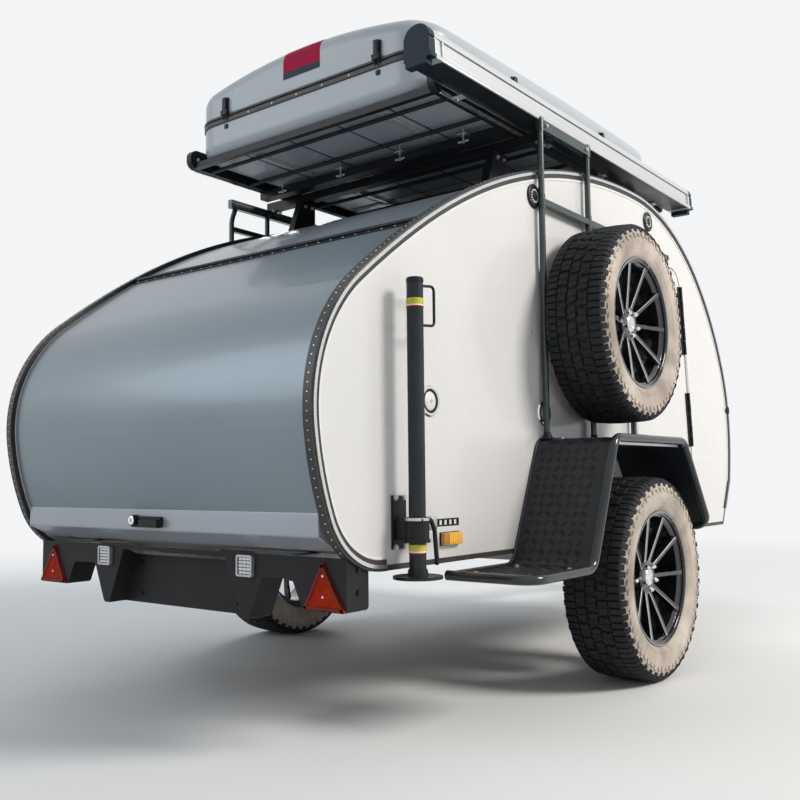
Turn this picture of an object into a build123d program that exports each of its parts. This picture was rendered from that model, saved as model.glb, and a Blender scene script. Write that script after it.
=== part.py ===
from build123d import *
import os
from math import atan2, cos, radians, sin, tan

# Teardrop trailer with spare wheel, roof rack, roof tent and awning case.
# Millimetres. +X is the trailer's right side, +Y the towing end, +Z up.
# The ground is z = 0, x = 0 is the middle of the body, and y = 0 is halfway
# between the rearmost skin and the nose of the coupling.

# Reach of the trailer in front of and behind the axle
NOSE_REACH = 2700
TAIL_REACH = 1563
AXLE_Y = -(NOSE_REACH - TAIL_REACH) / 2
TAIL_Y = AXLE_Y - TAIL_REACH

# Wheels
TYRE_R = 369.5
TYRE_W = 240
TREAD_W = 196
RIM_SEAT_R = 228
RIM_LIP_R = RIM_SEAT_R + 13
RIM_W = 204
RIM_DISH = 48
SPOKE_COUNT = 10
SPOKE_T = 15
HUB_R = 66
SPINDLE_R = 20
RUN_GAP = 0.3
DRUM_R = 125
DRUM_REACH = 112

# Body shell
HALF_W = 730
WHEEL_X = HALF_W + 172
WALL_T = 30
SKIN_T = 25
FLOOR_T = 40
FLOOR_UNDER_Z = 533
WALL_FOOT_Z = 488
TRIM_RISE = 16
TRIM_W = 24
TRIM_SIDE_T = 4
TRIM_SIDE_H = 16
BEAD_R = 5
LID_GAP = 5

# Side profile: y from the axle, then z, walked from the roof's highest point
ROOF_TOP = (AXLE_Y + 500, 1978)
REAR_POINTS = [
    (-65, 1929),
    (873 - TAIL_REACH, 1739),
    (451 - TAIL_REACH, 1508),
    (184 - TAIL_REACH, 1314),
    (56 - TAIL_REACH, 1162),
    (-TAIL_REACH, 880),
    (62 - TAIL_REACH, 636),
    (188 - TAIL_REACH, 508),
]
FRONT_POINTS = [(875, 1913), (1259, 1679), (1534, 1311), (1620, 905), (1594, 700)]
NOSE_FLOOR_Y = AXLE_Y + 1480

# How far a cutting outline runs past the body on every side
FAR = 2200

# Rear hatch
SEAM_Y = TAIL_Y + 515
HATCH_BOTTOM_Z = 549

# Hinges: knuckles on a pin just outside the skin, with a leaf on each side
KNUCKLE_R = 7
PIN_R = 4
LEAF_T = 3
LEAF_W = 26

# Doors, outline as y from the axle and z
DOOR_BOTTOM_Z = 588
DOOR_TOP_Z = 1705
DOOR_REAR_Y = AXLE_Y + 470
DOOR_FRONT_LOW_Y = AXLE_Y + 1096
DOOR_FRONT_TOP_Y = AXLE_Y + 976
DOOR_CORNER_R = 90
DOOR_GAP = 6
GLASS_T = 6
WINDOW_FRAME_W = 24
WINDOW_FRAME_T = 5
WINDOW_REAR_Y = DOOR_REAR_Y + 70
WINDOW_FRONT_LOW_Y = DOOR_FRONT_TOP_Y - 96
WINDOW_FRONT_TOP_Y = DOOR_FRONT_TOP_Y - 126
WINDOW_BOTTOM_Z = 1190
WINDOW_TOP_Z = 1560
WINDOW_CORNER_R = 60

# Chassis
RAIL_H = 60
RAIL_W = 45
RAIL_X = HALF_W - 210
RAIL_Z = FLOOR_UNDER_Z - RAIL_H
DRAW_H = 80
DRAW_W = 50
BALL_R = 25
AXLE_TUBE = 80
ARM_REACH = 150
ARM_T = 28

# Fenders, y from the axle and z
FENDER_T = 4
FENDER_OUT_X = HALF_W + 311
FENDER_TUBE_R = 15
FENDER_BEND_R = 60
STEP_Z = 450
FENDER_TOP_Z = 872
FENDER_PATH = [(-950, STEP_Z), (-592, STEP_Z), (-406, FENDER_TOP_Z), (200, FENDER_TOP_Z), (444, 536)]

# The rack's underside stands clear of the roof, and the carriers reach just above it
RACK_CLEARANCE = 49
RACK_Z = ROOF_TOP[1] + RACK_CLEARANCE
CARRIER_TOP_Z = RACK_Z + 13

# Spare wheel and side carriers
POST_R = 11.5
POST_X = HALF_W + TRIM_SIDE_T + BEAD_R + 1 + POST_R
POST_PITCH = 370
POST_YS = [AXLE_Y - POST_PITCH, AXLE_Y, AXLE_Y + POST_PITCH]
CARRIER_BAR_H = 38
CARRIER_MID_Z = 1735
CARRIER_NOSE_Y = AXLE_Y + 780

# The left carrier is a ladder, its rear post bent forward at the top
LADDER_YS = [AXLE_Y - 510, AXLE_Y - 290, AXLE_Y + 200]
LADDER_TOP_Z = CARRIER_TOP_Z - 60
LADDER_BEND_R = 90
LADDER_BEND_Z = LADDER_TOP_Z - 75
LADDER_LEAN = 28
RUNG_ZS = [CARRIER_TOP_Z - 175, CARRIER_MID_Z - 90, CARRIER_MID_Z - 370, CARRIER_MID_Z - 650]
RUNG_H = 22
SPARE_X = POST_X + POST_R + 0.5 + TYRE_W / 2
SPARE_Y = AXLE_Y - 50
SPARE_Z = 1307

# Roof rack: side rails, end bars and thin bars on crossbars and pillars
RACK_X = HALF_W - 98
RACK_REAR_Y = AXLE_Y - 865
RACK_FRONT_Y = AXLE_Y + 1065
RACK_RAIL_H = 78
RACK_RAIL_W = 28
RACK_RAIL_R = 34
RACK_END_H = 24
RACK_BAR_R = 8
RACK_BAR_PITCH = 220
RACK_BAR_COUNT = 8
PILLAR_X = HALF_W - 220
PILLAR_W = 34
PILLAR_SLANT = 73
PILLAR_HALF = 42
PILLAR_FOOT_Z = 1800
PILLAR_YS = [AXLE_Y - 280, AXLE_Y + 700]
SPREAD_YS = [AXLE_Y - 425, AXLE_Y + 555]
CROSSBAR_H = 36
CROSSBAR_W = 46

# Roof tent
TENT_X = HALF_W - 130
TENT_REAR_Y = RACK_REAR_Y + 5
TENT_FRONT_Y = RACK_FRONT_Y - 62
TENT_BOTTOM_Z = RACK_Z + RACK_END_H
TENT_SEAM_Z = TENT_BOTTOM_Z + 140
TENT_TOP_Z = TENT_BOTTOM_Z + 346
TENT_CORNER_R = 130
TENT_BASE_R = 42
TENT_SHOULDER_R = 60
TENT_SIDE_DROP = 74
TENT_REAR_DROP = 24
TENT_FRONT_DROP = 8
TENT_WALL = 8
TENT_SEAM_GAP = 6
TENT_OVER = 40

# Awning case
AWNING_X = HALF_W - 80
AWNING_W = 105
AWNING_BOTTOM_Z = CARRIER_TOP_Z
AWNING_H = 112
AWNING_REAR_Y = AXLE_Y - 1018
AWNING_FRONT_Y = AXLE_Y + 1110
AWNING_CAP_L = 32
AWNING_BRACKET_YS = [AWNING_REAR_Y + 288, AWNING_FRONT_Y - 210]
AWNING_BRACKET_W = 60
AWNING_BRACKET_H = 56

# Corner steady legs
LEG_X = HALF_W + 70
LEG_Y = TAIL_Y + 358
LEG_R = 24
LEG_BOTTOM_Z = 466
LEG_TOP_Z = 1310
LEG_FOOT_R = 70
CLAMP_Z = 600
CLAMP_H = 70
SLEEVE_T = 9

# Bumper, rear face and key heights
BUMPER_REAR_Y = TAIL_Y + 143
BUMPER_FRONT_Y = TAIL_Y + 233
BUMPER_WALL = 5
BUMPER_FIT = 0.5
BUMPER_TOP_Z = 542
BUMPER_END_Z = 388
BUMPER_NOTCH_Z = 468
BUMPER_MID_Z = 342
BUMPER_END_X = HALF_W - 4
BUMPER_MID_X = HALF_W - 380
NOTCH_X = (HALF_W - 325, HALF_W - 205)
NOTCH_SLANT = 40
BUMPER_BEND_R = 14
RECESS_TOP_X = HALF_W - 482
RECESS_FOOT_X = HALF_W - 408
RECESS_TOP_Z = 520
RECESS_DEPTH = 65
LAMP_X = HALF_W - 389
LAMP_W = 66
LAMP_H = 62
LAMP_T = 12
LAMP_Z = 496
REFLECTOR = [(157, 391), (6, 391), (86, 520)]
REFLECTOR_T = 7
MARKER_Y = LEG_Y + 253
MARKER_L = 96
MARKER_H = 36
MARKER_T = 18
MARKER_Z = 560
ROUND_LAMP_R = 42
ROUND_LAMP_T = 8

# Jockey wheel
JOCKEY_X = -150
JOCKEY_Y = AXLE_Y + NOSE_REACH - 370
JOCKEY_OUTER_R = 30
JOCKEY_INNER_R = 24
JOCKEY_WHEEL_R = 100
JOCKEY_WHEEL_W = 60
JOCKEY_TRAIL = 45

os.makedirs("parts", exist_ok=True)


def save(builder, name):
    """Label a finished piece and write it as a STEP file."""
    builder.part.label = name
    export_step(builder.part, f"parts/{name}.step")


def body_outline(inset):
    """The body's side profile moved inwards, drawn with y across and z up."""
    with BuildSketch() as outline:
        with BuildLine():
            tangent, start = (-1, 0), ROOF_TOP
            for y, z in REAR_POINTS:
                arc = TangentArc(start, (AXLE_Y + y, z), tangent=tangent)
                tangent, start = arc % 1, arc @ 1
            turn = atan2(-tangent.Y, tangent.X)
            foot_y = start.X + (start.Y - WALL_FOOT_Z) / tan(turn / 2)
            foot = TangentArc(start, (foot_y, WALL_FOOT_Z), tangent=tangent)
            tangent, start = (1, 0), ROOF_TOP
            for y, z in FRONT_POINTS:
                arc = TangentArc(start, (AXLE_Y + y, z), tangent=tangent)
                tangent, start = arc % 1, arc @ 1
            Polyline(foot @ 1, (NOSE_FLOOR_Y, WALL_FOOT_Z), start)
        make_face()
        if inset:
            offset(amount=-inset)
    return outline.sketch


def region(points):
    """A closed polygon drawn with y across and z up."""
    with BuildSketch() as outline:
        Polygon(*points, align=None)
    return outline.sketch


def hinge_profile(sink, bore):
    """One hinge half across its pin: a knuckle at the middle and a leaf to the right."""
    with BuildSketch() as profile:
        Circle(KNUCKLE_R)
        with Locations((LEAF_W / 2, -KNUCKLE_R + (LEAF_T - sink) / 2)):
            Rectangle(LEAF_W, LEAF_T + sink)
        if bore:
            Circle(PIN_R + RUN_GAP, mode=Mode.SUBTRACT)
    return profile.sketch


def spans(start, end, count, first):
    """Every second one of an odd count of equal lengths along a hinge, as middle and length."""
    step = (end - start) / count
    return [(start + (k + 0.5) * step, step - 0.6) for k in range(first, count, 2)]


OUTLINE = body_outline(0)
SKIN_OUTLINE = body_outline(TRIM_RISE)
INNER_OUTLINE = body_outline(TRIM_RISE + SKIN_T)


def door_outline(grow):
    """The door's rounded outline, grown by the given amount."""
    with BuildSketch() as outline:
        Polygon(
            (DOOR_REAR_Y, DOOR_BOTTOM_Z),
            (DOOR_FRONT_LOW_Y, DOOR_BOTTOM_Z),
            (DOOR_FRONT_TOP_Y, DOOR_TOP_Z),
            (DOOR_REAR_Y, DOOR_TOP_Z),
            align=None,
        )
        fillet(outline.vertices(), DOOR_CORNER_R)
        if grow:
            offset(amount=grow)
    return outline.sketch


def window_outline(grow):
    """The door window's rounded outline, grown by the given amount."""
    with BuildSketch() as outline:
        Polygon(
            (WINDOW_REAR_Y, WINDOW_BOTTOM_Z),
            (WINDOW_FRONT_LOW_Y, WINDOW_BOTTOM_Z),
            (WINDOW_FRONT_TOP_Y, WINDOW_TOP_Z),
            (WINDOW_REAR_Y, WINDOW_TOP_Z),
            align=None,
        )
        fillet(outline.vertices(), WINDOW_CORNER_R)
        if grow:
            offset(amount=grow)
    return outline.sketch


# Door hinges stand along the front edge, in the middle of the gap
door_front = Vector(0, DOOR_FRONT_TOP_Y - DOOR_FRONT_LOW_Y, DOOR_TOP_Z - DOOR_BOTTOM_Z).normalized()
door_fore = Vector(0, door_front.Z, -door_front.Y)
DOOR_HINGE_SPANS = [(290, 545), (728, 1052)]


def door_hinge_plane(side, along, direction):
    """A section across a door hinge's pin, its leaf pointing in the given direction."""
    foot = Vector(side * (HALF_W + KNUCKLE_R), DOOR_FRONT_LOW_Y, DOOR_BOTTOM_Z)
    origin = foot + door_front * along + door_fore * (DOOR_GAP / 2)
    return Plane(origin=origin, x_dir=direction, z_dir=direction.cross(Vector(side, 0, 0)))


with BuildPart() as door_hinges:
    for side in (1, -1):
        for start, end in DOOR_HINGE_SPANS:
            for middle, length in spans(start, end, 5, 0):
                with BuildSketch(door_hinge_plane(side, middle, door_fore)):
                    add(hinge_profile(0, False))
                extrude(amount=length / 2, both=True)
            with BuildSketch(door_hinge_plane(side, (start + end) / 2, door_fore)):
                Circle(PIN_R)
            extrude(amount=(end - start) / 2, both=True)
save(door_hinges, "door_hinges")

# Side walls, doors and windows, one set for each side
for side_name, side in (("right", 1), ("left", -1)):
    wall_in = side * (HALF_W - WALL_T)
    with BuildPart() as wall:
        with BuildSketch(Plane.YZ.offset(wall_in)):
            add(SKIN_OUTLINE)
            add(door_outline(DOOR_GAP), mode=Mode.SUBTRACT)
        extrude(amount=side * WALL_T)
    save(wall, f"wall_{side_name}")

    with BuildPart() as door:
        with BuildSketch(Plane.YZ.offset(wall_in)):
            add(door_outline(0))
            add(window_outline(0), mode=Mode.SUBTRACT)
        extrude(amount=side * WALL_T)
        with BuildSketch(Plane.YZ.offset(side * HALF_W)):
            add(window_outline(WINDOW_FRAME_W))
            add(window_outline(0), mode=Mode.SUBTRACT)
        extrude(amount=side * WINDOW_FRAME_T)
        for start, end in DOOR_HINGE_SPANS:
            for middle, length in spans(start, end, 5, 1):
                with BuildSketch(door_hinge_plane(side, middle, -door_fore)):
                    add(hinge_profile(0, True))
                extrude(amount=length / 2, both=True)
    save(door, f"door_{side_name}")

    with BuildPart() as glass:
        with BuildSketch(Plane.YZ.offset(side * (HALF_W - WALL_T / 2))):
            add(window_outline(-0.3))
        extrude(amount=side * GLASS_T / 2, both=True)
    save(glass, f"door_glass_{side_name}")

# Roof and front skin, from the hatch seam over the top to the front floor edge
SKIN_HALF_W = HALF_W - WALL_T


def crosses_seam(edge):
    """Whether an edge of the outline passes over the seam's place along the trailer."""
    box = edge.bounding_box()
    return box.min.X < SEAM_Y < box.max.X


seam_edge = SKIN_OUTLINE.edges().filter_by(crosses_seam).sort_by(Axis.Y)[-1]
seam_hit = seam_edge.find_intersection_points(Axis((SEAM_Y, 0, 0), (0, 1, 0)))[0]
seam_run = seam_edge.tangent_at(seam_hit)
seam_point = Vector(0, seam_hit.X, seam_hit.Y)
seam_down = Vector(0, seam_run.X, seam_run.Y) * (1 if seam_run.X < 0 else -1)
seam_out = Vector(0, seam_down.Z, -seam_down.Y)


def seam_corner(down, out):
    """A point near the hatch seam, by its distance down the skin and out of it."""
    point = seam_point + seam_down * down + seam_out * out
    return (point.Y, point.Z)


SKIN_FOOT_Y = AXLE_Y + 1425
with BuildPart() as roof:
    with BuildSketch(Plane.YZ.offset(-SKIN_HALF_W)):
        add(SKIN_OUTLINE)
        add(INNER_OUTLINE, mode=Mode.SUBTRACT)
        add(
            region(
                [
                    seam_corner(-LID_GAP / 2, -120),
                    seam_corner(-LID_GAP / 2, 120),
                    (AXLE_Y - FAR, seam_point.Z + 120),
                    (AXLE_Y - FAR, 0),
                    (SKIN_FOOT_Y, 0),
                    (SKIN_FOOT_Y, FLOOR_UNDER_Z + FLOOR_T),
                    (SEAM_Y + 60, FLOOR_UNDER_Z + FLOOR_T),
                ]
            ),
            mode=Mode.SUBTRACT,
        )
    extrude(amount=2 * SKIN_HALF_W)
save(roof, "roof_skin")

# Floor between the side walls, up to the front skin
FLOOR_REAR_Y = TAIL_Y + 193
FLOOR_TOP_Z = FLOOR_UNDER_Z + FLOOR_T
with BuildPart() as floor:
    with BuildSketch(Plane.YZ.offset(-SKIN_HALF_W)):
        add(INNER_OUTLINE)
        add(
            region(
                [
                    (FLOOR_REAR_Y, FLOOR_UNDER_Z),
                    (AXLE_Y + FAR, FLOOR_UNDER_Z),
                    (AXLE_Y + FAR, FLOOR_TOP_Z),
                    (FLOOR_REAR_Y, FLOOR_TOP_Z),
                ]
            ),
            mode=Mode.INTERSECT,
        )
    extrude(amount=2 * SKIN_HALF_W)
save(floor, "floor")

# Partition between the sleeping cabin and the rear galley, and the worktop
BULKHEAD_REACH = 900
BULKHEAD_Y = AXLE_Y - BULKHEAD_REACH
BULKHEAD_T = 18
COUNTER_Z = 930
COUNTER_T = 28
with BuildPart() as bulkhead:
    with BuildSketch(Plane.YZ.offset(-SKIN_HALF_W)):
        add(INNER_OUTLINE)
        add(
            region(
                [
                    (BULKHEAD_Y, FLOOR_TOP_Z),
                    (BULKHEAD_Y + BULKHEAD_T, FLOOR_TOP_Z),
                    (BULKHEAD_Y + BULKHEAD_T, FAR),
                    (BULKHEAD_Y, FAR),
                ]
            ),
            mode=Mode.INTERSECT,
        )
    extrude(amount=2 * SKIN_HALF_W)
save(bulkhead, "bulkhead")

GALLEY_REAR_Y = TAIL_Y + 143
GALLEY_FRONT_Y = BULKHEAD_Y - BULKHEAD_T
CUPBOARD_L = GALLEY_FRONT_Y - GALLEY_REAR_Y - 60
CUPBOARD_H = COUNTER_Z - COUNTER_T - FLOOR_TOP_Z
DIVIDER_PITCH = 460
with BuildPart() as galley:
    with BuildSketch(Plane.YZ.offset(-SKIN_HALF_W)):
        Polygon(
            (BULKHEAD_Y, FLOOR_TOP_Z),
            (BULKHEAD_Y, COUNTER_Z),
            (GALLEY_REAR_Y, COUNTER_Z),
            (GALLEY_REAR_Y, COUNTER_Z - COUNTER_T),
            (GALLEY_FRONT_Y, COUNTER_Z - COUNTER_T),
            (GALLEY_FRONT_Y, FLOOR_TOP_Z),
            align=None,
        )
    extrude(amount=2 * SKIN_HALF_W)
    with Locations((0, GALLEY_FRONT_Y - CUPBOARD_L / 2, FLOOR_TOP_Z + CUPBOARD_H / 2)):
        with GridLocations(DIVIDER_PITCH, 1, 2, 1):
            Box(COUNTER_T, CUPBOARD_L, CUPBOARD_H)
save(galley, "galley_counter")

# Rubber edge trims round both side walls, and the bright beads along them
SILL_Z = 569
CORNER_END_Y = TAIL_Y + 303
TRIMMED = region(
    [
        (AXLE_Y - FAR, 0),
        (CORNER_END_Y, 0),
        (CORNER_END_Y, SILL_Z),
        (AXLE_Y + FAR, SILL_Z),
        (AXLE_Y + FAR, FAR),
        (AXLE_Y - FAR, FAR),
    ]
)
with BuildPart() as trims:
    for side in (1, -1):
        with BuildSketch(Plane.YZ.offset(side * (HALF_W - TRIM_W))):
            add(OUTLINE)
            add(SKIN_OUTLINE, mode=Mode.SUBTRACT)
        extrude(amount=side * TRIM_W)
        with BuildSketch(Plane.YZ.offset(side * HALF_W)):
            add(OUTLINE)
            add(body_outline(TRIM_RISE + TRIM_SIDE_H), mode=Mode.SUBTRACT)
            add(TRIMMED, mode=Mode.INTERSECT)
        extrude(amount=side * TRIM_SIDE_T)
save(trims, "edge_trims")

with BuildPart() as beads:
    for side in (1, -1):
        with BuildSketch(Plane.YZ.offset(side * (HALF_W + TRIM_SIDE_T))):
            add(body_outline(TRIM_RISE / 2))
            add(body_outline(TRIM_RISE / 2 + 2 * BEAD_R), mode=Mode.SUBTRACT)
            add(TRIMMED, mode=Mode.INTERSECT)
        extrude(amount=side * BEAD_R)
save(beads, "edge_beads")

# Rear hatch, hinged along its seam with the roof skin
HATCH_HALF_W = SKIN_HALF_W - LID_GAP
hinge_axis = seam_point + seam_out * KNUCKLE_R
HATCH_HINGE_COUNT = 9
with BuildPart() as hatch:
    with BuildSketch(Plane.YZ.offset(-HATCH_HALF_W)):
        add(SKIN_OUTLINE)
        add(INNER_OUTLINE, mode=Mode.SUBTRACT)
        add(
            region(
                [
                    seam_corner(LID_GAP / 2, -120),
                    seam_corner(LID_GAP / 2, 120),
                    (AXLE_Y - FAR, seam_point.Z + 120),
                    (AXLE_Y - FAR, HATCH_BOTTOM_Z),
                    (FLOOR_REAR_Y - LID_GAP, HATCH_BOTTOM_Z),
                    (FLOOR_REAR_Y - LID_GAP, HATCH_BOTTOM_Z + 120),
                ]
            ),
            mode=Mode.INTERSECT,
        )
    extrude(amount=2 * HATCH_HALF_W)
    for middle, length in spans(-HATCH_HALF_W, HATCH_HALF_W, HATCH_HINGE_COUNT, 1):
        origin = hinge_axis + Vector(middle, 0, 0)
        with BuildSketch(Plane(origin=origin, x_dir=seam_down, z_dir=seam_down.cross(seam_out))):
            add(hinge_profile(1, True))
        extrude(amount=length / 2, both=True)
save(hatch, "hatch")

with BuildPart() as hinge:
    for middle, length in spans(-HATCH_HALF_W, HATCH_HALF_W, HATCH_HINGE_COUNT, 0):
        origin = hinge_axis + Vector(middle, 0, 0)
        with BuildSketch(Plane(origin=origin, x_dir=-seam_down, z_dir=seam_out.cross(seam_down))):
            add(hinge_profile(0, False))
        extrude(amount=length / 2, both=True)
    with BuildSketch(Plane(origin=hinge_axis, z_dir=(1, 0, 0))):
        Circle(PIN_R)
    extrude(amount=HATCH_HALF_W - 1, both=True)
    add(roof.part, mode=Mode.SUBTRACT)
save(hinge, "hatch_hinge")

# Hatch handle: a lock barrel at one end and a grip bar beside it
HANDLE_X = -22
HANDLE_Z = 617
HANDLE_W = 146
HANDLE_Y = TAIL_Y + 88
HANDLE_BARREL_R = 17
with BuildPart() as handle:
    with BuildSketch(Plane.XZ.offset(-HANDLE_Y)):
        with Locations((HANDLE_X, HANDLE_Z)):
            RectangleRounded(HANDLE_W, 2 * HANDLE_BARREL_R, 8)
    extrude(amount=30, both=True)
    with BuildSketch(Plane.XZ.offset(-HANDLE_Y)):
        with Locations((HANDLE_X + HANDLE_BARREL_R + 12, HANDLE_Z - 4)):
            RectangleRounded(HANDLE_W - 2 * HANDLE_BARREL_R - 24, 2 * HANDLE_BARREL_R - 10, 6)
    extrude(amount=44)
    with BuildSketch(Plane.XZ.offset(-HANDLE_Y)):
        with Locations((HANDLE_X - HANDLE_W / 2 + HANDLE_BARREL_R, HANDLE_Z + 4)):
            Circle(HANDLE_BARREL_R)
    extrude(amount=40)
    add(hatch.part, mode=Mode.SUBTRACT)
    with BuildSketch(Plane.YZ.offset(-HALF_W)):
        add(INNER_OUTLINE)
    extrude(amount=2 * HALF_W, mode=Mode.SUBTRACT)
save(handle, "hatch_handle")

# Bumper across the tail: a thin moulding, open towards the chassis, with a recess for the plate
def bumper_outline(inset):
    """The bumper from behind, moved inwards, drawn with x across and z up."""
    with BuildSketch() as outline:
        with BuildLine():
            half = Polyline(
                (0, BUMPER_TOP_Z),
                (BUMPER_END_X, BUMPER_TOP_Z),
                (BUMPER_END_X, BUMPER_END_Z),
                (NOTCH_X[1] + NOTCH_SLANT, BUMPER_END_Z),
                (NOTCH_X[1], BUMPER_NOTCH_Z),
                (NOTCH_X[0], BUMPER_NOTCH_Z),
                (BUMPER_MID_X, BUMPER_MID_Z),
                (0, BUMPER_MID_Z),
            )
            mirror(half, about=Plane.YZ)
        make_face()
        bends = outline.vertices().filter_by(lambda v: abs(v.X) > 1 and v.Y < BUMPER_TOP_Z - 1)
        fillet(bends, BUMPER_BEND_R)
        if inset:
            offset(amount=-inset)
    return outline.sketch


def recess_outline(grow):
    """The plate recess from behind, open at the foot, with its sides moved outwards."""
    lean = (RECESS_FOOT_X - RECESS_TOP_X) / (RECESS_TOP_Z - BUMPER_MID_Z)
    with BuildSketch() as outline:
        Polygon(
            (-RECESS_TOP_X - grow, RECESS_TOP_Z + grow),
            (RECESS_TOP_X + grow, RECESS_TOP_Z + grow),
            (RECESS_FOOT_X + grow + lean * 20, BUMPER_MID_Z - 20),
            (-RECESS_FOOT_X - grow - lean * 20, BUMPER_MID_Z - 20),
            align=None,
        )
    return outline.sketch


BUMPER_DEPTH = BUMPER_FRONT_Y - BUMPER_REAR_Y
with BuildPart() as bumper:
    with BuildSketch(Plane.XZ.offset(-BUMPER_REAR_Y)):
        add(bumper_outline(0))
    extrude(amount=-BUMPER_DEPTH)
    with BuildSketch(Plane.XZ.offset(-BUMPER_FRONT_Y)):
        add(bumper_outline(BUMPER_WALL))
        add(recess_outline(BUMPER_WALL), mode=Mode.SUBTRACT)
    extrude(amount=BUMPER_DEPTH - BUMPER_WALL, mode=Mode.SUBTRACT)
    with BuildSketch(Plane.XZ.offset(-BUMPER_FRONT_Y)):
        add(bumper_outline(BUMPER_WALL))
    extrude(amount=BUMPER_DEPTH - RECESS_DEPTH - BUMPER_WALL, mode=Mode.SUBTRACT)
    with BuildSketch(Plane.XZ.offset(-BUMPER_REAR_Y)):
        add(recess_outline(0))
    extrude(amount=-RECESS_DEPTH, mode=Mode.SUBTRACT)
    with BuildSketch(Plane.YZ.offset(-HALF_W)):
        add(body_outline(-BUMPER_FIT))
    extrude(amount=2 * HALF_W, mode=Mode.SUBTRACT)
save(bumper, "bumper")

with BuildPart() as lamps:
    for side in (1, -1):
        with BuildSketch(Plane.XZ.offset(-BUMPER_REAR_Y)):
            with Locations((side * LAMP_X, LAMP_Z)):
                RectangleRounded(LAMP_W, LAMP_H, 6)
        extrude(amount=LAMP_T)
save(lamps, "tail_lamps")

with BuildPart() as reflectors:
    for side in (1, -1):
        with BuildSketch(Plane.XZ.offset(-BUMPER_REAR_Y)):
            Polygon(*[(side * (HALF_W - x), z) for x, z in REFLECTOR], align=None)
        extrude(amount=REFLECTOR_T)
save(reflectors, "reflectors")

with BuildPart() as side_lamps:
    for side in (1, -1):
        with Locations((side * (HALF_W + MARKER_T / 2), MARKER_Y, MARKER_Z)):
            Box(MARKER_T, MARKER_L, MARKER_H)
        with BuildSketch(Plane.YZ.offset(side * HALF_W)):
            with Locations((AXLE_Y - 394, 1753), (AXLE_Y + 629, 1876)):
                Circle(ROUND_LAMP_R)
        extrude(amount=side * ROUND_LAMP_T)
save(side_lamps, "side_lamps")

# Chassis rails, cross members and the towing arms
# The rails reach into the bumper, which is bolted on their ends.
RAIL_REAR_Y = BUMPER_REAR_Y + BUMPER_WALL + RUN_GAP
RAIL_FRONT_Y = AXLE_Y + 1350
MEMBER_YS = [TAIL_Y + 413, AXLE_Y - 600, AXLE_Y + 600, RAIL_FRONT_Y - 100]
with BuildPart() as rails:
    for side in (1, -1):
        with Locations((side * RAIL_X, (RAIL_REAR_Y + RAIL_FRONT_Y) / 2, RAIL_Z + RAIL_H / 2)):
            Box(RAIL_W, RAIL_FRONT_Y - RAIL_REAR_Y, RAIL_H)
save(rails, "chassis_rails")

with BuildPart() as members:
    for y in MEMBER_YS:
        with Locations((0, y, RAIL_Z + RAIL_H / 2)):
            Box(2 * RAIL_X - RAIL_W, RAIL_W, RAIL_H)
save(members, "cross_members")

DRAW_ROOT_Y = AXLE_Y + 700
DRAW_TIP_Y = AXLE_Y + NOSE_REACH - 220
DRAW_TIP_X = 45
DRAW_ROOT_X = RAIL_X + 5
BALL_Y = DRAW_TIP_Y + 178
with BuildPart() as drawbar:
    for side in (1, -1):
        with BuildSketch(Plane.XY.offset(RAIL_Z - DRAW_H)):
            Polygon(
                (side * (DRAW_ROOT_X - DRAW_W / 2), DRAW_ROOT_Y),
                (side * (DRAW_ROOT_X + DRAW_W / 2), DRAW_ROOT_Y),
                (side * (DRAW_TIP_X + DRAW_W / 2), DRAW_TIP_Y),
                (side * (DRAW_TIP_X - DRAW_W / 2), DRAW_TIP_Y),
                align=None,
            )
        extrude(amount=DRAW_H)
save(drawbar, "drawbar")

COUPLING_Z = RAIL_Z - DRAW_H / 2
COUPLING_W = 76
OVERRUN_R = 27
LEVER_R = 9
with BuildPart() as coupling:
    with Locations((0, DRAW_TIP_Y + 50, COUPLING_Z)):
        Box(90, 100, DRAW_H)
    with BuildSketch(Plane.XZ.offset(-DRAW_TIP_Y - 100)):
        with Locations((0, COUPLING_Z)):
            Circle(OVERRUN_R)
    extrude(amount=-20)
    with BuildSketch(Plane.YZ.offset(-COUPLING_W / 2)):
        with BuildLine():
            back = Line((DRAW_TIP_Y + 108, COUPLING_Z - 34), (DRAW_TIP_Y + 108, COUPLING_Z + 30))
            top = Line(back @ 1, (BALL_Y - 12, COUPLING_Z + 44))
            nose = ThreePointArc(top @ 1, (BALL_Y + 26, COUPLING_Z + 26), (BALL_Y + 42, COUPLING_Z - 10))
            Polyline(nose @ 1, (BALL_Y + 42, COUPLING_Z - 34), back @ 0)
        make_face()
    extrude(amount=COUPLING_W)
    with BuildLine():
        grip = FilletPolyline(
            (0, BALL_Y - 25, COUPLING_Z + 40),
            (0, BALL_Y - 60, COUPLING_Z + 85),
            (0, BALL_Y - 200, COUPLING_Z + 105),
            radius=25,
        )
    with BuildSketch(Plane(origin=grip @ 0, z_dir=grip % 0)):
        Circle(LEVER_R)
    sweep()
    with BuildLine():
        brake = FilletPolyline(
            (0, DRAW_TIP_Y + 30, COUPLING_Z + 30),
            (0, DRAW_TIP_Y + 30, COUPLING_Z + 120),
            (0, DRAW_TIP_Y - 90, COUPLING_Z + 330),
            radius=40,
        )
    with BuildSketch(Plane(origin=brake @ 0, z_dir=brake % 0)):
        Circle(LEVER_R)
    sweep()
    with BuildSketch(Plane.XY.offset(COUPLING_Z - 34)):
        with Locations((0, BALL_Y)):
            Circle(BALL_R + 0.2)
    extrude(amount=38, mode=Mode.SUBTRACT)
save(coupling, "coupling_head")

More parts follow.
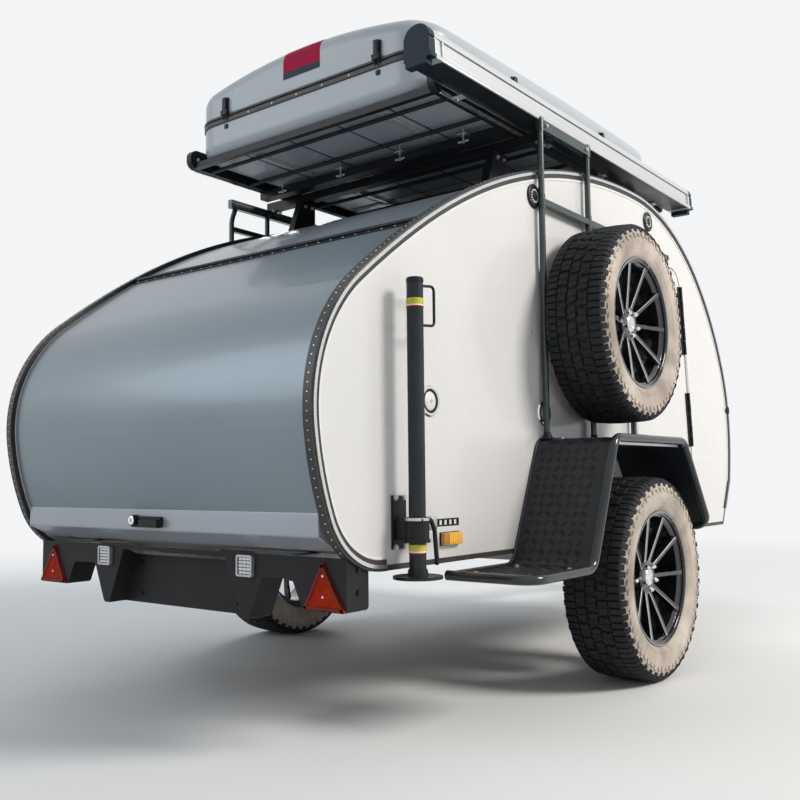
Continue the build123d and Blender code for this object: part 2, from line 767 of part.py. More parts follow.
# Jockey wheel
JOCKEY_TUBE_Z = 2 * JOCKEY_WHEEL_R + 40
JOCKEY_CROWN_T = 12
JOCKEY_PIN_R = 8
JOCKEY_ARM_X = 95
CRANK_R = 8
with BuildPart() as jockey_case:
    with BuildSketch(Plane.XY.offset(380)):
        with Locations((JOCKEY_X, JOCKEY_Y)):
            Circle(JOCKEY_OUTER_R)
    extrude(amount=420)
    with Locations(((JOCKEY_X - JOCKEY_ARM_X) / 2, JOCKEY_Y, RAIL_Z - DRAW_H / 2)):
        Box(-JOCKEY_X - JOCKEY_ARM_X, 70, DRAW_H - 10)
    add(drawbar.part, mode=Mode.SUBTRACT)
    with BuildSketch(Plane.XY.offset(380)):
        with Locations((JOCKEY_X, JOCKEY_Y)):
            Circle(JOCKEY_INNER_R + RUN_GAP)
    extrude(amount=400, mode=Mode.SUBTRACT)
    with BuildLine():
        crank = FilletPolyline(
            (JOCKEY_X, JOCKEY_Y, 795),
            (JOCKEY_X, JOCKEY_Y, 845),
            (JOCKEY_X - 130, JOCKEY_Y, 845),
            (JOCKEY_X - 130, JOCKEY_Y, 905),
            radius=14,
        )
    with BuildSketch(Plane(origin=crank @ 0, z_dir=crank % 0)):
        Circle(CRANK_R)
    sweep()
save(jockey_case, "jockey_case")

with BuildPart() as jockey_tube:
    with BuildSketch(Plane.XY.offset(JOCKEY_TUBE_Z)):
        with Locations((JOCKEY_X, JOCKEY_Y)):
            Circle(JOCKEY_INNER_R)
    extrude(amount=320)
save(jockey_tube, "jockey_tube")

with BuildPart() as jockey_fork:
    with Locations((JOCKEY_X, JOCKEY_Y - JOCKEY_TRAIL / 2, JOCKEY_TUBE_Z - RUN_GAP - JOCKEY_CROWN_T / 2)):
        Box(90, 110, JOCKEY_CROWN_T)
    for side in (1, -1):
        with Locations((JOCKEY_X + side * 41, JOCKEY_Y - JOCKEY_TRAIL, JOCKEY_WHEEL_R + 60)):
            Box(8, 50, 150)
    with BuildSketch(Plane.YZ.offset(JOCKEY_X - 45)):
        with Locations((JOCKEY_Y - JOCKEY_TRAIL, JOCKEY_WHEEL_R)):
            Circle(JOCKEY_PIN_R)
    extrude(amount=90)
save(jockey_fork, "jockey_fork")

with BuildPart() as jockey_wheel:
    wheel_at = (JOCKEY_X, JOCKEY_Y - JOCKEY_TRAIL, JOCKEY_WHEEL_R)
    half = JOCKEY_WHEEL_W / 2
    with BuildSketch(Plane(origin=wheel_at, x_dir=(1, 0, 0), z_dir=(0, -1, 0))) as wheel_profile:
        Polygon(
            (-half, JOCKEY_PIN_R + RUN_GAP), (-half, 30), (-half + 14, 34), (-half + 14, 58), (-half, 62),
            (-half, JOCKEY_WHEEL_R), (half, JOCKEY_WHEEL_R), (half, 62), (half - 14, 58),
            (half - 14, 34), (half, 30), (half, JOCKEY_PIN_R + RUN_GAP),
            align=None,
        )
        fillet(wheel_profile.vertices().filter_by(lambda v: v.Y > JOCKEY_WHEEL_R - 1), 16)
    revolve(axis=Axis(wheel_at, (1, 0, 0)))
save(jockey_wheel, "jockey_wheel")

# Axle tube and trailing arms with their spindles
AXLE_TUBE_Y = AXLE_Y + ARM_REACH
AXLE_TUBE_Z = RAIL_Z - AXLE_TUBE / 2
ARM_X = HALF_W + 12
with BuildPart() as axle:
    with Locations((0, AXLE_TUBE_Y, AXLE_TUBE_Z)):
        Box(2 * ARM_X, AXLE_TUBE, AXLE_TUBE)
save(axle, "axle_tube")

with BuildPart() as arms:
    for side in (1, -1):
        with BuildSketch(Plane.YZ.offset(side * ARM_X)):
            with BuildLine():
                Polyline(
                    (AXLE_TUBE_Y + 35, AXLE_TUBE_Z + 35),
                    (AXLE_TUBE_Y + 35, AXLE_TUBE_Z - 35),
                    (AXLE_Y - 35, TYRE_R - 35),
                    (AXLE_Y - 35, TYRE_R + 35),
                    close=True,
                )
            make_face()
        extrude(amount=side * ARM_T)
        with BuildSketch(Plane.YZ.offset(side * (ARM_X + ARM_T))):
            with Locations((AXLE_Y, TYRE_R)):
                Circle(SPINDLE_R)
        extrude(amount=side * 165)
save(arms, "trailing_arms")


def make_tyre(name, x, y, z):
    """A tyre with open beads, its axis along X."""
    half, tread = TYRE_W / 2, TREAD_W / 2
    bead = RIM_W / 2 - 8
    with BuildPart() as tyre:
        with BuildSketch(Plane(origin=(x, y, z), x_dir=(1, 0, 0), z_dir=(0, -1, 0))):
            Polygon(
                (-tread, TYRE_R), (tread, TYRE_R), (tread + 14, TYRE_R - 16),
                (half, TYRE_R - 70), (half - 4, RIM_LIP_R + 12), (half - 18, RIM_LIP_R + 4),
                (bead, RIM_LIP_R + 1), (bead, RIM_SEAT_R),
                (bead - 22, RIM_SEAT_R), (half - 16, TYRE_R - 70), (tread, TYRE_R - 24),
                (-tread, TYRE_R - 24), (-half + 16, TYRE_R - 70), (-bead + 22, RIM_SEAT_R),
                (-bead, RIM_SEAT_R), (-bead, RIM_LIP_R + 1), (-half + 18, RIM_LIP_R + 4),
                (-half + 4, RIM_LIP_R + 12), (-half, TYRE_R - 70),
                (-tread - 14, TYRE_R - 16),
                align=None,
            )
        revolve(axis=Axis((x, y, z), (1, 0, 0)))
    save(tyre, name)


def make_rim(name, x, y, z, side):
    """A ten-spoke rim with a recessed hub, facing outwards on the given side."""
    lip, seat = RIM_W / 2, RIM_W / 2 - 8
    face = side * (lip - RIM_DISH)
    with BuildPart() as rim:
        with BuildSketch(Plane(origin=(x, y, z), x_dir=(1, 0, 0), z_dir=(0, -1, 0))):
            Polygon(
                (-lip, RIM_LIP_R), (-seat, RIM_LIP_R), (-seat, RIM_SEAT_R), (seat, RIM_SEAT_R),
                (seat, RIM_LIP_R), (lip, RIM_LIP_R), (lip, RIM_SEAT_R - 12), (-lip, RIM_SEAT_R - 12),
                align=None,
            )
        revolve(axis=Axis((x, y, z), (1, 0, 0)))
        with BuildSketch(Plane.YZ.offset(x + face)):
            with Locations((y, z)):
                Circle(HUB_R)
        extrude(amount=-side * 34)
        for k in range(SPOKE_COUNT):
            turn = radians(360 / SPOKE_COUNT * k + 90)
            out = Vector(0, cos(turn), sin(turn))
            with BuildSketch(Plane(origin=(x, y, z), x_dir=out, z_dir=out.cross(Vector(1, 0, 0)))):
                Polygon(
                    (HUB_R - 8, face), (RIM_SEAT_R - 8, side * (lip - 4)),
                    (RIM_SEAT_R - 8, side * (lip - 40)), (HUB_R - 8, face - side * 30),
                    align=None,
                )
            extrude(amount=SPOKE_T / 2, both=True)
        with BuildSketch(Plane.YZ.offset(x + face - side * 40)):
            with Locations((y, z)):
                Circle(SPINDLE_R + RUN_GAP)
        extrude(amount=side * 24, mode=Mode.SUBTRACT)
    save(rim, name)


def make_drum(name, x, y, z, side):
    """A brake drum behind the hub, open towards the trailing arm."""
    hub_back = RIM_W / 2 - RIM_DISH - 34
    with BuildPart() as drum:
        with BuildSketch(Plane(origin=(x, y, z), x_dir=(side, 0, 0), z_dir=(0, -side, 0))):
            Polygon(
                (hub_back, SPINDLE_R + RUN_GAP), (hub_back, HUB_R - 6), (hub_back - 50, HUB_R),
                (hub_back - 56, DRUM_R - 12), (hub_back - 64, DRUM_R), (-DRUM_REACH, DRUM_R),
                (-DRUM_REACH, DRUM_R - 8), (hub_back - 66, DRUM_R - 8),
                (hub_back - 66, SPINDLE_R + 14), (-DRUM_REACH + 10, SPINDLE_R + 14),
                (-DRUM_REACH + 10, SPINDLE_R + RUN_GAP),
                align=None,
            )
        revolve(axis=Axis((x, y, z), (1, 0, 0)))
    save(drum, name)


for side_name, side in (("right", 1), ("left", -1)):
    make_tyre(f"tyre_{side_name}", side * WHEEL_X, AXLE_Y, TYRE_R)
    make_drum(f"brake_drum_{side_name}", side * WHEEL_X, AXLE_Y, TYRE_R, side)
    make_rim(f"rim_{side_name}", side * WHEEL_X, AXLE_Y, TYRE_R, side)
make_tyre("spare_tyre", SPARE_X, SPARE_Y, SPARE_Z)
make_rim("spare_rim", SPARE_X, SPARE_Y, SPARE_Z, 1)

# The plate's front edge stops at the tube that closes it
lip_y, lip_z = FENDER_PATH[-1]
lip_run = (Vector(*FENDER_PATH[-2]) - Vector(lip_y, lip_z)).normalized() * FENDER_TUBE_R
PLATE_PATH = [*FENDER_PATH[:-1], (lip_y + lip_run.X, lip_z + lip_run.Y)]
TUBE_REAR_Y = FENDER_PATH[0][0] - FENDER_TUBE_R
TUBE_PATH = [(TUBE_REAR_Y, STEP_Z), *FENDER_PATH[1:]]

# Fenders: a bent plate each side, edged by a tube that turns in to the wall
FENDER_IN_X = HALF_W
FENDER_TUBE_X = FENDER_OUT_X - FENDER_TUBE_R
with BuildPart() as fenders:
    for side in (1, -1):
        with BuildSketch(Plane.YZ.offset(side * FENDER_IN_X)):
            with BuildLine():
                FilletPolyline(*[(AXLE_Y + y, z) for y, z in PLATE_PATH], radius=FENDER_BEND_R)
            trace(line_width=FENDER_T)
        extrude(amount=side * (FENDER_TUBE_X - FENDER_TUBE_R - FENDER_IN_X))
    corners = fenders.edges().filter_by(lambda e: abs(e.length - FENDER_T) < 0.01)
    corners = corners.filter_by(lambda e: abs(e.center().X) > HALF_W + 100)
    fillet(corners, FENDER_BEND_R - FENDER_TUBE_R)
save(fenders, "fenders")

with BuildPart() as fender_tubes:
    for side in (1, -1):
        inner, outer = side * FENDER_IN_X, side * FENDER_TUBE_X
        with BuildLine():
            FilletPolyline(
                (inner, AXLE_Y + TUBE_REAR_Y, STEP_Z),
                *[(outer, AXLE_Y + y, z) for y, z in TUBE_PATH],
                (inner, AXLE_Y + lip_y, lip_z),
                radius=FENDER_BEND_R,
            )
        with BuildSketch(Plane(origin=(inner, AXLE_Y + TUBE_REAR_Y, STEP_Z), z_dir=(side, 0, 0))):
            Circle(FENDER_TUBE_R)
        sweep()
save(fender_tubes, "fender_tubes")

# Side carriers: three posts and two bars on the right, a ladder on the left
POST_FOOT_Z = FENDER_TOP_Z + FENDER_T / 2
with BuildPart() as carriers:
    for y, top in zip(POST_YS, (CARRIER_TOP_Z - 1, CARRIER_TOP_Z - 1, CARRIER_MID_Z)):
        with BuildSketch(Plane.XY.offset(POST_FOOT_Z)):
            with Locations((POST_X, y)):
                Circle(POST_R)
        extrude(amount=top - POST_FOOT_Z)
    with Locations((POST_X, (POST_YS[0] + POST_YS[1]) / 2, CARRIER_TOP_Z - CARRIER_BAR_H / 2)):
        Box(2 * POST_R, POST_YS[1] - POST_YS[0] + 2 * POST_R, CARRIER_BAR_H)
    with Locations((POST_X, (POST_YS[0] + CARRIER_NOSE_Y) / 2, CARRIER_MID_Z)):
        Box(2 * POST_R - 2, CARRIER_NOSE_Y - POST_YS[0], RUNG_H)
    with BuildLine():
        bent = FilletPolyline(
            (-POST_X, LADDER_YS[0], POST_FOOT_Z),
            (-POST_X, LADDER_YS[0], LADDER_BEND_Z),
            (-POST_X, LADDER_YS[0] + LADDER_LEAN, LADDER_TOP_Z),
            radius=LADDER_BEND_R,
        )
    with BuildSketch(Plane(origin=bent @ 0, z_dir=(0, 0, 1))):
        Circle(POST_R - 0.1)
    sweep()
    for y in LADDER_YS[1:]:
        with BuildSketch(Plane.XY.offset(POST_FOOT_Z)):
            with Locations((-POST_X, y)):
                Circle(POST_R - 0.1)
        extrude(amount=LADDER_TOP_Z - POST_FOOT_Z)
    with Locations((-POST_X, (LADDER_YS[0] + LADDER_YS[2]) / 2, LADDER_TOP_Z)):
        Box(2 * POST_R, LADDER_YS[2] - LADDER_YS[0] + 2 * POST_R, CARRIER_BAR_H)
    for z in RUNG_ZS:
        with Locations((-POST_X, (LADDER_YS[0] + LADDER_YS[2]) / 2, z)):
            Box(2 * POST_R - 2, LADDER_YS[2] - LADDER_YS[0], RUNG_H)
save(carriers, "side_carriers")

with BuildPart() as bracket:
    with Locations((POST_X, SPARE_Y + 25, SPARE_Z)):
        Box(2 * POST_R - 2, 160, 200)
    with BuildSketch(Plane.YZ.offset(POST_X + POST_R - 1)):
        with Locations((SPARE_Y, SPARE_Z)):
            Circle(HUB_R)
    extrude(amount=SPARE_X + RIM_W / 2 - RIM_DISH - 34 - (POST_X + POST_R - 1))
    with BuildSketch(Plane.XY.offset(SPARE_Z - 100)):
        with Locations((POST_X, POST_YS[1])):
            Circle(POST_R)
    extrude(amount=200, mode=Mode.SUBTRACT)
save(bracket, "spare_bracket")

# Roof rack. The rear crossbar runs out to the tops of both side carriers.
CROSSBAR_Z = RACK_Z - CROSSBAR_H / 2
CARRIER_IN_X = POST_X - POST_R
with BuildPart() as supports:
    for y, reach in zip(PILLAR_YS, (CARRIER_IN_X - RUN_GAP, RACK_X)):
        with Locations((0, y, CROSSBAR_Z)):
            Box(2 * reach, CROSSBAR_W, CROSSBAR_H)
        for side in (1, -1):
            with BuildSketch(Plane.YZ.offset(side * PILLAR_X - PILLAR_W / 2)):
                Polygon(
                    (y - PILLAR_HALF - PILLAR_SLANT, PILLAR_FOOT_Z),
                    (y + PILLAR_HALF, PILLAR_FOOT_Z),
                    (y + PILLAR_HALF, RACK_Z - CROSSBAR_H),
                    (y - PILLAR_HALF, RACK_Z - CROSSBAR_H),
                    align=None,
                )
            extrude(amount=PILLAR_W)
    for y in SPREAD_YS:
        with Locations((0, y, CROSSBAR_Z)):
            Box(2 * RACK_X, CROSSBAR_W, CROSSBAR_H)
    with BuildSketch(Plane.YZ.offset(-HALF_W)):
        add(SKIN_OUTLINE)
    extrude(amount=2 * HALF_W, mode=Mode.SUBTRACT)
save(supports, "rack_supports")

with BuildPart() as rack_frame:
    rack_mid_y = (RACK_REAR_Y + RACK_FRONT_Y) / 2
    rack_l = RACK_FRONT_Y - RACK_REAR_Y
    for side in (1, -1):
        with BuildSketch(Plane.YZ.offset(side * (RACK_X - RACK_RAIL_W))):
            with Locations((rack_mid_y, RACK_Z + RACK_RAIL_H / 2)):
                RectangleRounded(rack_l, RACK_RAIL_H, RACK_RAIL_R)
        extrude(amount=side * RACK_RAIL_W)
    with Locations((0, rack_mid_y, RACK_Z + RACK_END_H / 2)):
        with GridLocations(1, rack_l - 2 * RACK_RAIL_R, 1, 2):
            Box(2 * (RACK_X - RACK_RAIL_W), RACK_END_H, RACK_END_H)
save(rack_frame, "rack_frame")

with BuildPart() as rack_bars:
    for k in range(RACK_BAR_COUNT):
        y = RACK_REAR_Y + RACK_RAIL_R + 80 + k * RACK_BAR_PITCH
        with BuildSketch(Plane.YZ.offset(RACK_RAIL_W - RACK_X)):
            with Locations((y, RACK_Z + RACK_BAR_R)):
                Circle(RACK_BAR_R)
        extrude(amount=2 * (RACK_X - RACK_RAIL_W))
save(rack_bars, "rack_bars")

# Roof tent: tray, folded bedding and hinged lid
TENT_MID_Y = (TENT_REAR_Y + TENT_FRONT_Y) / 2
TENT_L = TENT_FRONT_Y - TENT_REAR_Y
TENT_HINGE_XS = (-350, 350)
TENT_HINGE_W = 120
TENT_PIN_Y = TENT_FRONT_Y + KNUCKLE_R + 2
TENT_PIN_Z = TENT_SEAM_Z - TENT_SEAM_GAP / 2
with BuildPart() as tray:
    with BuildSketch(Plane.XY.offset(TENT_BOTTOM_Z)):
        with Locations((0, TENT_MID_Y)):
            RectangleRounded(2 * TENT_X, TENT_L, TENT_CORNER_R)
    extrude(amount=TENT_SEAM_Z - TENT_BOTTOM_Z - TENT_SEAM_GAP)
    fillet(tray.faces().sort_by(Axis.Z)[0].edges(), TENT_BASE_R)
    offset(amount=-TENT_WALL, openings=tray.faces().sort_by(Axis.Z)[-1])
    for x in TENT_HINGE_XS:
        for middle, length in spans(x - TENT_HINGE_W / 2, x + TENT_HINGE_W / 2, 3, 0):
            with BuildSketch(Plane.YZ.offset(middle)):
                with Locations((TENT_PIN_Y, TENT_PIN_Z)):
                    Circle(KNUCKLE_R)
                Polygon(
                    (TENT_FRONT_Y - 1, TENT_PIN_Z - 34),
                    (TENT_FRONT_Y + 3, TENT_PIN_Z - 34),
                    (TENT_PIN_Y + KNUCKLE_R, TENT_PIN_Z),
                    (TENT_PIN_Y, TENT_PIN_Z),
                    (TENT_FRONT_Y - 1, TENT_PIN_Z - KNUCKLE_R),
                    align=None,
                )
            extrude(amount=length / 2, both=True)
        with BuildSketch(Plane.YZ.offset(x)):
            with Locations((TENT_PIN_Y, TENT_PIN_Z)):
                Circle(PIN_R)
        extrude(amount=TENT_HINGE_W / 2, both=True)
save(tray, "tent_tray")


def lid_form(inset):
    """The lid as a solid with a crowned top, all its faces moved inwards by the inset."""
    top_z = TENT_TOP_Z - inset
    crown_r = (TENT_X**2 + TENT_SIDE_DROP**2) / (2 * TENT_SIDE_DROP)
    with BuildPart() as form:
        with BuildSketch(Plane.XY.offset(TENT_SEAM_Z - inset)):
            with Locations((0, TENT_MID_Y)):
                RectangleRounded(2 * (TENT_X - inset), TENT_L - 2 * inset, TENT_CORNER_R - inset)
        extrude(amount=TENT_TOP_Z - TENT_SEAM_Z + TENT_OVER)
        with BuildLine():
            crown = ThreePointArc(
                (0, TENT_REAR_Y - TENT_OVER, top_z - TENT_REAR_DROP),
                (0, TENT_MID_Y + TENT_OVER, top_z),
                (0, TENT_FRONT_Y + TENT_OVER, top_z - TENT_FRONT_DROP),
            )
        with BuildSketch(Plane(origin=crown @ 0, x_dir=(1, 0, 0), z_dir=-(crown % 0))):
            Rectangle(2 * (TENT_X + TENT_OVER), 2 * (TENT_SIDE_DROP + TENT_CORNER_R))
            with Locations((0, -crown_r)):
                Circle(crown_r, mode=Mode.SUBTRACT)
        sweep(mode=Mode.SUBTRACT)
        fillet(form.faces().sort_by(Axis.Z)[-1].edges(), TENT_SHOULDER_R - inset)
    return form.part


with BuildPart() as tent_lid:
    add(lid_form(0))
    add(lid_form(TENT_WALL), mode=Mode.SUBTRACT)
    for x in TENT_HINGE_XS:
        for middle, length in spans(x - TENT_HINGE_W / 2, x + TENT_HINGE_W / 2, 3, 1):
            with BuildSketch(Plane.YZ.offset(middle)):
                Polygon(
                    (TENT_FRONT_Y - 5, TENT_SEAM_Z),
                    (TENT_PIN_Y, TENT_SEAM_Z),
                    (TENT_PIN_Y, TENT_PIN_Z + KNUCKLE_R),
                    (TENT_FRONT_Y - 5, TENT_PIN_Z + KNUCKLE_R),
                    align=None,
                )
                with Locations((TENT_PIN_Y, TENT_PIN_Z)):
                    Circle(KNUCKLE_R)
                    Circle(PIN_R + RUN_GAP, mode=Mode.SUBTRACT)
            extrude(amount=length / 2, both=True)
save(tent_lid, "tent_lid")

with BuildPart() as bedding:
    with Locations((0, TENT_MID_Y, TENT_BOTTOM_Z + TENT_WALL + RUN_GAP + 44)):
        Box(2 * TENT_X - 180, TENT_L - 260, 88)
save(bedding, "tent_bedding")

# Awning case on the right of the rack, with a cap at each end
AWNING_TOP_Z = AWNING_BOTTOM_Z + AWNING_H
AWNING_OUT_X = AWNING_X + AWNING_W
with BuildSketch() as awning_section:
    with BuildLine():
        inner = Line((AWNING_X, AWNING_TOP_Z - 44), (AWNING_X, AWNING_BOTTOM_Z))
        lip = Polyline(
            inner @ 1,
            (AWNING_OUT_X, AWNING_BOTTOM_Z),
            (AWNING_OUT_X, AWNING_BOTTOM_Z + 13),
            (AWNING_OUT_X - 5, AWNING_BOTTOM_Z + 17),
            (AWNING_OUT_X - 7, AWNING_BOTTOM_Z + 62),
            (AWNING_OUT_X - 11, AWNING_BOTTOM_Z + 64),
            (AWNING_OUT_X - 11, AWNING_BOTTOM_Z + 68),
            (AWNING_OUT_X - 7, AWNING_BOTTOM_Z + 70),
        )
        shoulder = ThreePointArc(
            lip @ 1,
            (AWNING_OUT_X - 20, AWNING_TOP_Z - 12),
            (AWNING_OUT_X - 50, AWNING_TOP_Z),
        )
        ThreePointArc(shoulder @ 1, (AWNING_X + 16, AWNING_TOP_Z - 12), inner @ 0)
    make_face()

with BuildPart() as awning:
    with BuildSketch(Plane.XZ.offset(-AWNING_REAR_Y)):
        add(awning_section.sketch)
    extrude(amount=AWNING_REAR_Y - AWNING_FRONT_Y)
save(awning, "awning_case")

with BuildPart() as awning_caps:
    for y, out in ((AWNING_REAR_Y, 1), (AWNING_FRONT_Y, -1)):
        with BuildSketch(Plane.XZ.offset(-y)):
            add(awning_section.sketch)
            with Locations(((AWNING_X + AWNING_OUT_X) / 2 - 6, AWNING_BOTTOM_Z + 10)):
                Rectangle(AWNING_W - 24, 60)
        extrude(amount=out * AWNING_CAP_L)
save(awning_caps, "awning_caps")

# Brackets that hang the awning case on the rack
with BuildPart() as awning_brackets:
    for y in AWNING_BRACKET_YS:
        with Locations(((RACK_X + AWNING_X) / 2, y, AWNING_BOTTOM_Z + AWNING_BRACKET_H / 2 + 2)):
            Box(AWNING_X - RACK_X, AWNING_BRACKET_W, AWNING_BRACKET_H)
save(awning_brackets, "awning_brackets")

# Steady legs and their wall clamps
with BuildPart() as clamps:
    for side in (1, -1):
        with Locations((side * (HALF_W + 4), LEG_Y, CLAMP_Z + 20)):
            Box(8, 60, 150)
        with Locations((side * (HALF_W + LEG_X) / 2, LEG_Y, CLAMP_Z)):
            Box(LEG_X - HALF_W, 44, 56)
        with BuildSketch(Plane.XY.offset(CLAMP_Z)):
            with Locations((side * LEG_X, LEG_Y)):
                Circle(LEG_R + SLEEVE_T)
        extrude(amount=CLAMP_H / 2, both=True)
        with BuildSketch(Plane.XY.offset(CLAMP_Z)):
            with Locations((side * LEG_X, LEG_Y)):
                Circle(LEG_R + RUN_GAP)
        extrude(amount=CLAMP_H, both=True, mode=Mode.SUBTRACT)
save(clamps, "leg_clamps")

for side_name, side in (("right", 1), ("left", -1)):
    with BuildPart() as leg:
        with BuildSketch(Plane.XY.offset(LEG_BOTTOM_Z)):
            with Locations((side * LEG_X, LEG_Y)):
                Circle(LEG_R)
        extrude(amount=LEG_TOP_Z - LEG_BOTTOM_Z)
        with BuildSketch(Plane.XY.offset(LEG_BOTTOM_Z)):
            with Locations((side * LEG_X, LEG_Y)):
                Circle(LEG_FOOT_R)
        extrude(amount=6)
    save(leg, f"steady_leg_{side_name}")
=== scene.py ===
import bpy
import bmesh
from itertools import product
from math import atan2, cos, hypot, pi, radians, sin, tan
from mathutils import Matrix, Vector
from mathutils.bvhtree import BVHTree


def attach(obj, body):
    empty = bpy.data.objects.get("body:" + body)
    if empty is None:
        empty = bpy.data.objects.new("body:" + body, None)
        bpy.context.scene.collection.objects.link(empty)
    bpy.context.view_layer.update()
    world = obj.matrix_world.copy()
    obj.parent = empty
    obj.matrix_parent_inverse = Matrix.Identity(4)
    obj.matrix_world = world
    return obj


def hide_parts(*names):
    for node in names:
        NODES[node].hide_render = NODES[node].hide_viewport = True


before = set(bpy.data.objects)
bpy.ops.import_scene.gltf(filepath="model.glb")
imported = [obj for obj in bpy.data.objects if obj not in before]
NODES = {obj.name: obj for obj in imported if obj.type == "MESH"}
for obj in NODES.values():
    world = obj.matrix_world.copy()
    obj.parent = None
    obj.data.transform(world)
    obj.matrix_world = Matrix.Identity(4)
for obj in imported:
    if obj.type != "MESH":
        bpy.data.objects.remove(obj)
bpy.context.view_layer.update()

# Sizes of the CAD model, in millimetres. A mesh becomes metres when it is made.
SIDES = (("right", 1), ("left", -1))
BACK, UP, DOWN = (0, -1, 0), (0, 0, 1), (0, 0, -1)
AXLE, TAIL, HALF_W = -568.5, -2131.5, 730
WHEEL_X, TYRE_R = 902, 369.5
SPARE = (883.5, AXLE - 50, 1307)
ROOF_TOP = (500, 1978)
REAR_POINTS = [
    (-65, 1929), (-690, 1739), (-1112, 1508), (-1379, 1314), (-1507, 1162), (-1563, 880), (-1501, 636),
    (-1375, 508), (-1277.4, 488),
]
FRONT_POINTS = [(875, 1913), (1259, 1679), (1534, 1311), (1620, 905), (1594, 700)]
TRIM_RISE, TRIM_SIDE_H, TRIM_W = 16, 16, 24
DOOR = [(AXLE + 470, 588), (AXLE + 1096, 588), (AXLE + 976, 1705), (AXLE + 470, 1705)]
WINDOW = [(AXLE + 540, 1190), (AXLE + 880, 1190), (AXLE + 850, 1560), (AXLE + 540, 1560)]
DOOR_R, WINDOW_R, DOOR_GAP = 90, 60, 6
DOOR_LEAN = Vector((0, DOOR[2][0] - DOOR[1][0], DOOR[2][1] - DOOR[1][1])).normalized()
DOOR_FORE = Vector((0, DOOR_LEAN.z, -DOOR_LEAN.y))
HINGE_SPANS = ((290, 545), (728, 1052))
HATCH_SEAM, HATCH_TILT = Vector((0, AXLE - 1048, 1530.25)), radians(32.17322)
HATCH_HALF, HATCH_HINGE_HALF, HATCH_KNUCKLES = 693, 695, 9
SKIRT_TOP, SKIRT_FOOT, HATCH_FOOT = 655, 590, 550
BUMPER_Y = TAIL + 143
LAMP_X, LAMP_Z, LAMP_W, LAMP_H, LAMP_T = 341, 496, 66, 62, 12
FENDER_PATH = [(-950, 450), (-592, 450), (-406, 872), (200, 872), (444, 536)]
FENDER_TOP, STEP_TOP = 874, 452
TENT_X, TENT_REAR, TENT_FRONT, TENT_R = 600, AXLE - 860, AXLE + 1003, 130
TENT_BOTTOM = 2051
RACK_X, RACK_Z, RACK_REAR, RACK_FRONT, RAIL_W = 632, 2027, AXLE - 865, AXLE + 1065, 28
PILLAR_X, PILLAR_YS = 510, (AXLE - 280, AXLE + 700)
AWN_X, AWN_W, AWN_Z, AWN_REAR, AWN_FRONT = 650, 105, 2040, AXLE - 1018, AXLE + 1110
LEG_X, LEG_Y, LEG_R = 800, AXLE - 1205, 24
POST_X = 752.5
POST_YS = {1: (AXLE - 370, AXLE, AXLE + 370), -1: (AXLE - 510, AXLE - 290, AXLE + 200)}
CARRIER_BAR_Z, CARRIER_TOP_Z, LADDER_TOP_Z = 1735, 2021, 1980
# A washer's thickness, and the radii of washer and hexagon as shares of the width across flats.
WASHER_T, WASHER_R, HEXAGON_R = 1.6, 0.72, 0.577

# The camera that was solved from the photo, and the light.
YAW, PITCH, ROLL = radians(37.958), radians(4.664), radians(-0.578)
CAMERA_PLACE = Vector((2.364, -3.8515, 0.751))
PHOTO_WIDTH, FOCAL_PIXELS, SENSOR = 800, 927.08, 36
BACKDROP = (0.90, 0.91, 0.92)
FLOOR_REACH, FADE_START, FADE_END = 90, 2.6, 7.5
DUST = (0.34, 0.25, 0.17)


def vx(d):
    return Vector((d, 0, 0))


def vz(d):
    return Vector((0, 0, d))


def stand(name, data):
    """A new object in the scene."""
    made = bpy.data.objects.new(name, data)
    bpy.context.scene.collection.objects.link(made)
    return made


def camera():
    ahead, right = Vector((-sin(YAW), cos(YAW), 0)), Vector((cos(YAW), sin(YAW), 0))
    forward = cos(PITCH) * ahead + vz(sin(PITCH))
    up = -sin(PITCH) * ahead + vz(cos(PITCH))
    turned = cos(ROLL) * right + sin(ROLL) * up, -sin(ROLL) * right + cos(ROLL) * up
    columns = (*turned, -forward, CAMERA_PLACE)
    data = bpy.data.cameras.new("camera")
    data.sensor_width = SENSOR
    data.lens = SENSOR * FOCAL_PIXELS / PHOTO_WIDTH
    data.clip_end = 200
    made = stand("camera", data)
    made.matrix_world = Matrix([(*v, w) for v, w in zip(columns, (0, 0, 0, 1))]).transposed()
    bpy.context.scene.camera = made


camera()
bpy.context.scene.view_settings.view_transform = "Standard"


def feed(tree, made, sockets):
    """Fill a node's sockets: a node or its output is linked, anything else is the socket's value."""
    for key, value in sockets.items():
        if isinstance(value, bpy.types.Node):
            value = value.outputs[0]
        if isinstance(value, bpy.types.NodeSocket):
            tree.links.new(value, made.inputs[key])
        else:
            made.inputs[key].default_value = value


def node(tree, kind, sockets=None, **settings):
    made = tree.nodes.new("ShaderNode" + kind)
    for key, value in settings.items():
        setattr(made, key, value)
    feed(tree, made, sockets or {})
    return made


# Finishes by name
M = {}


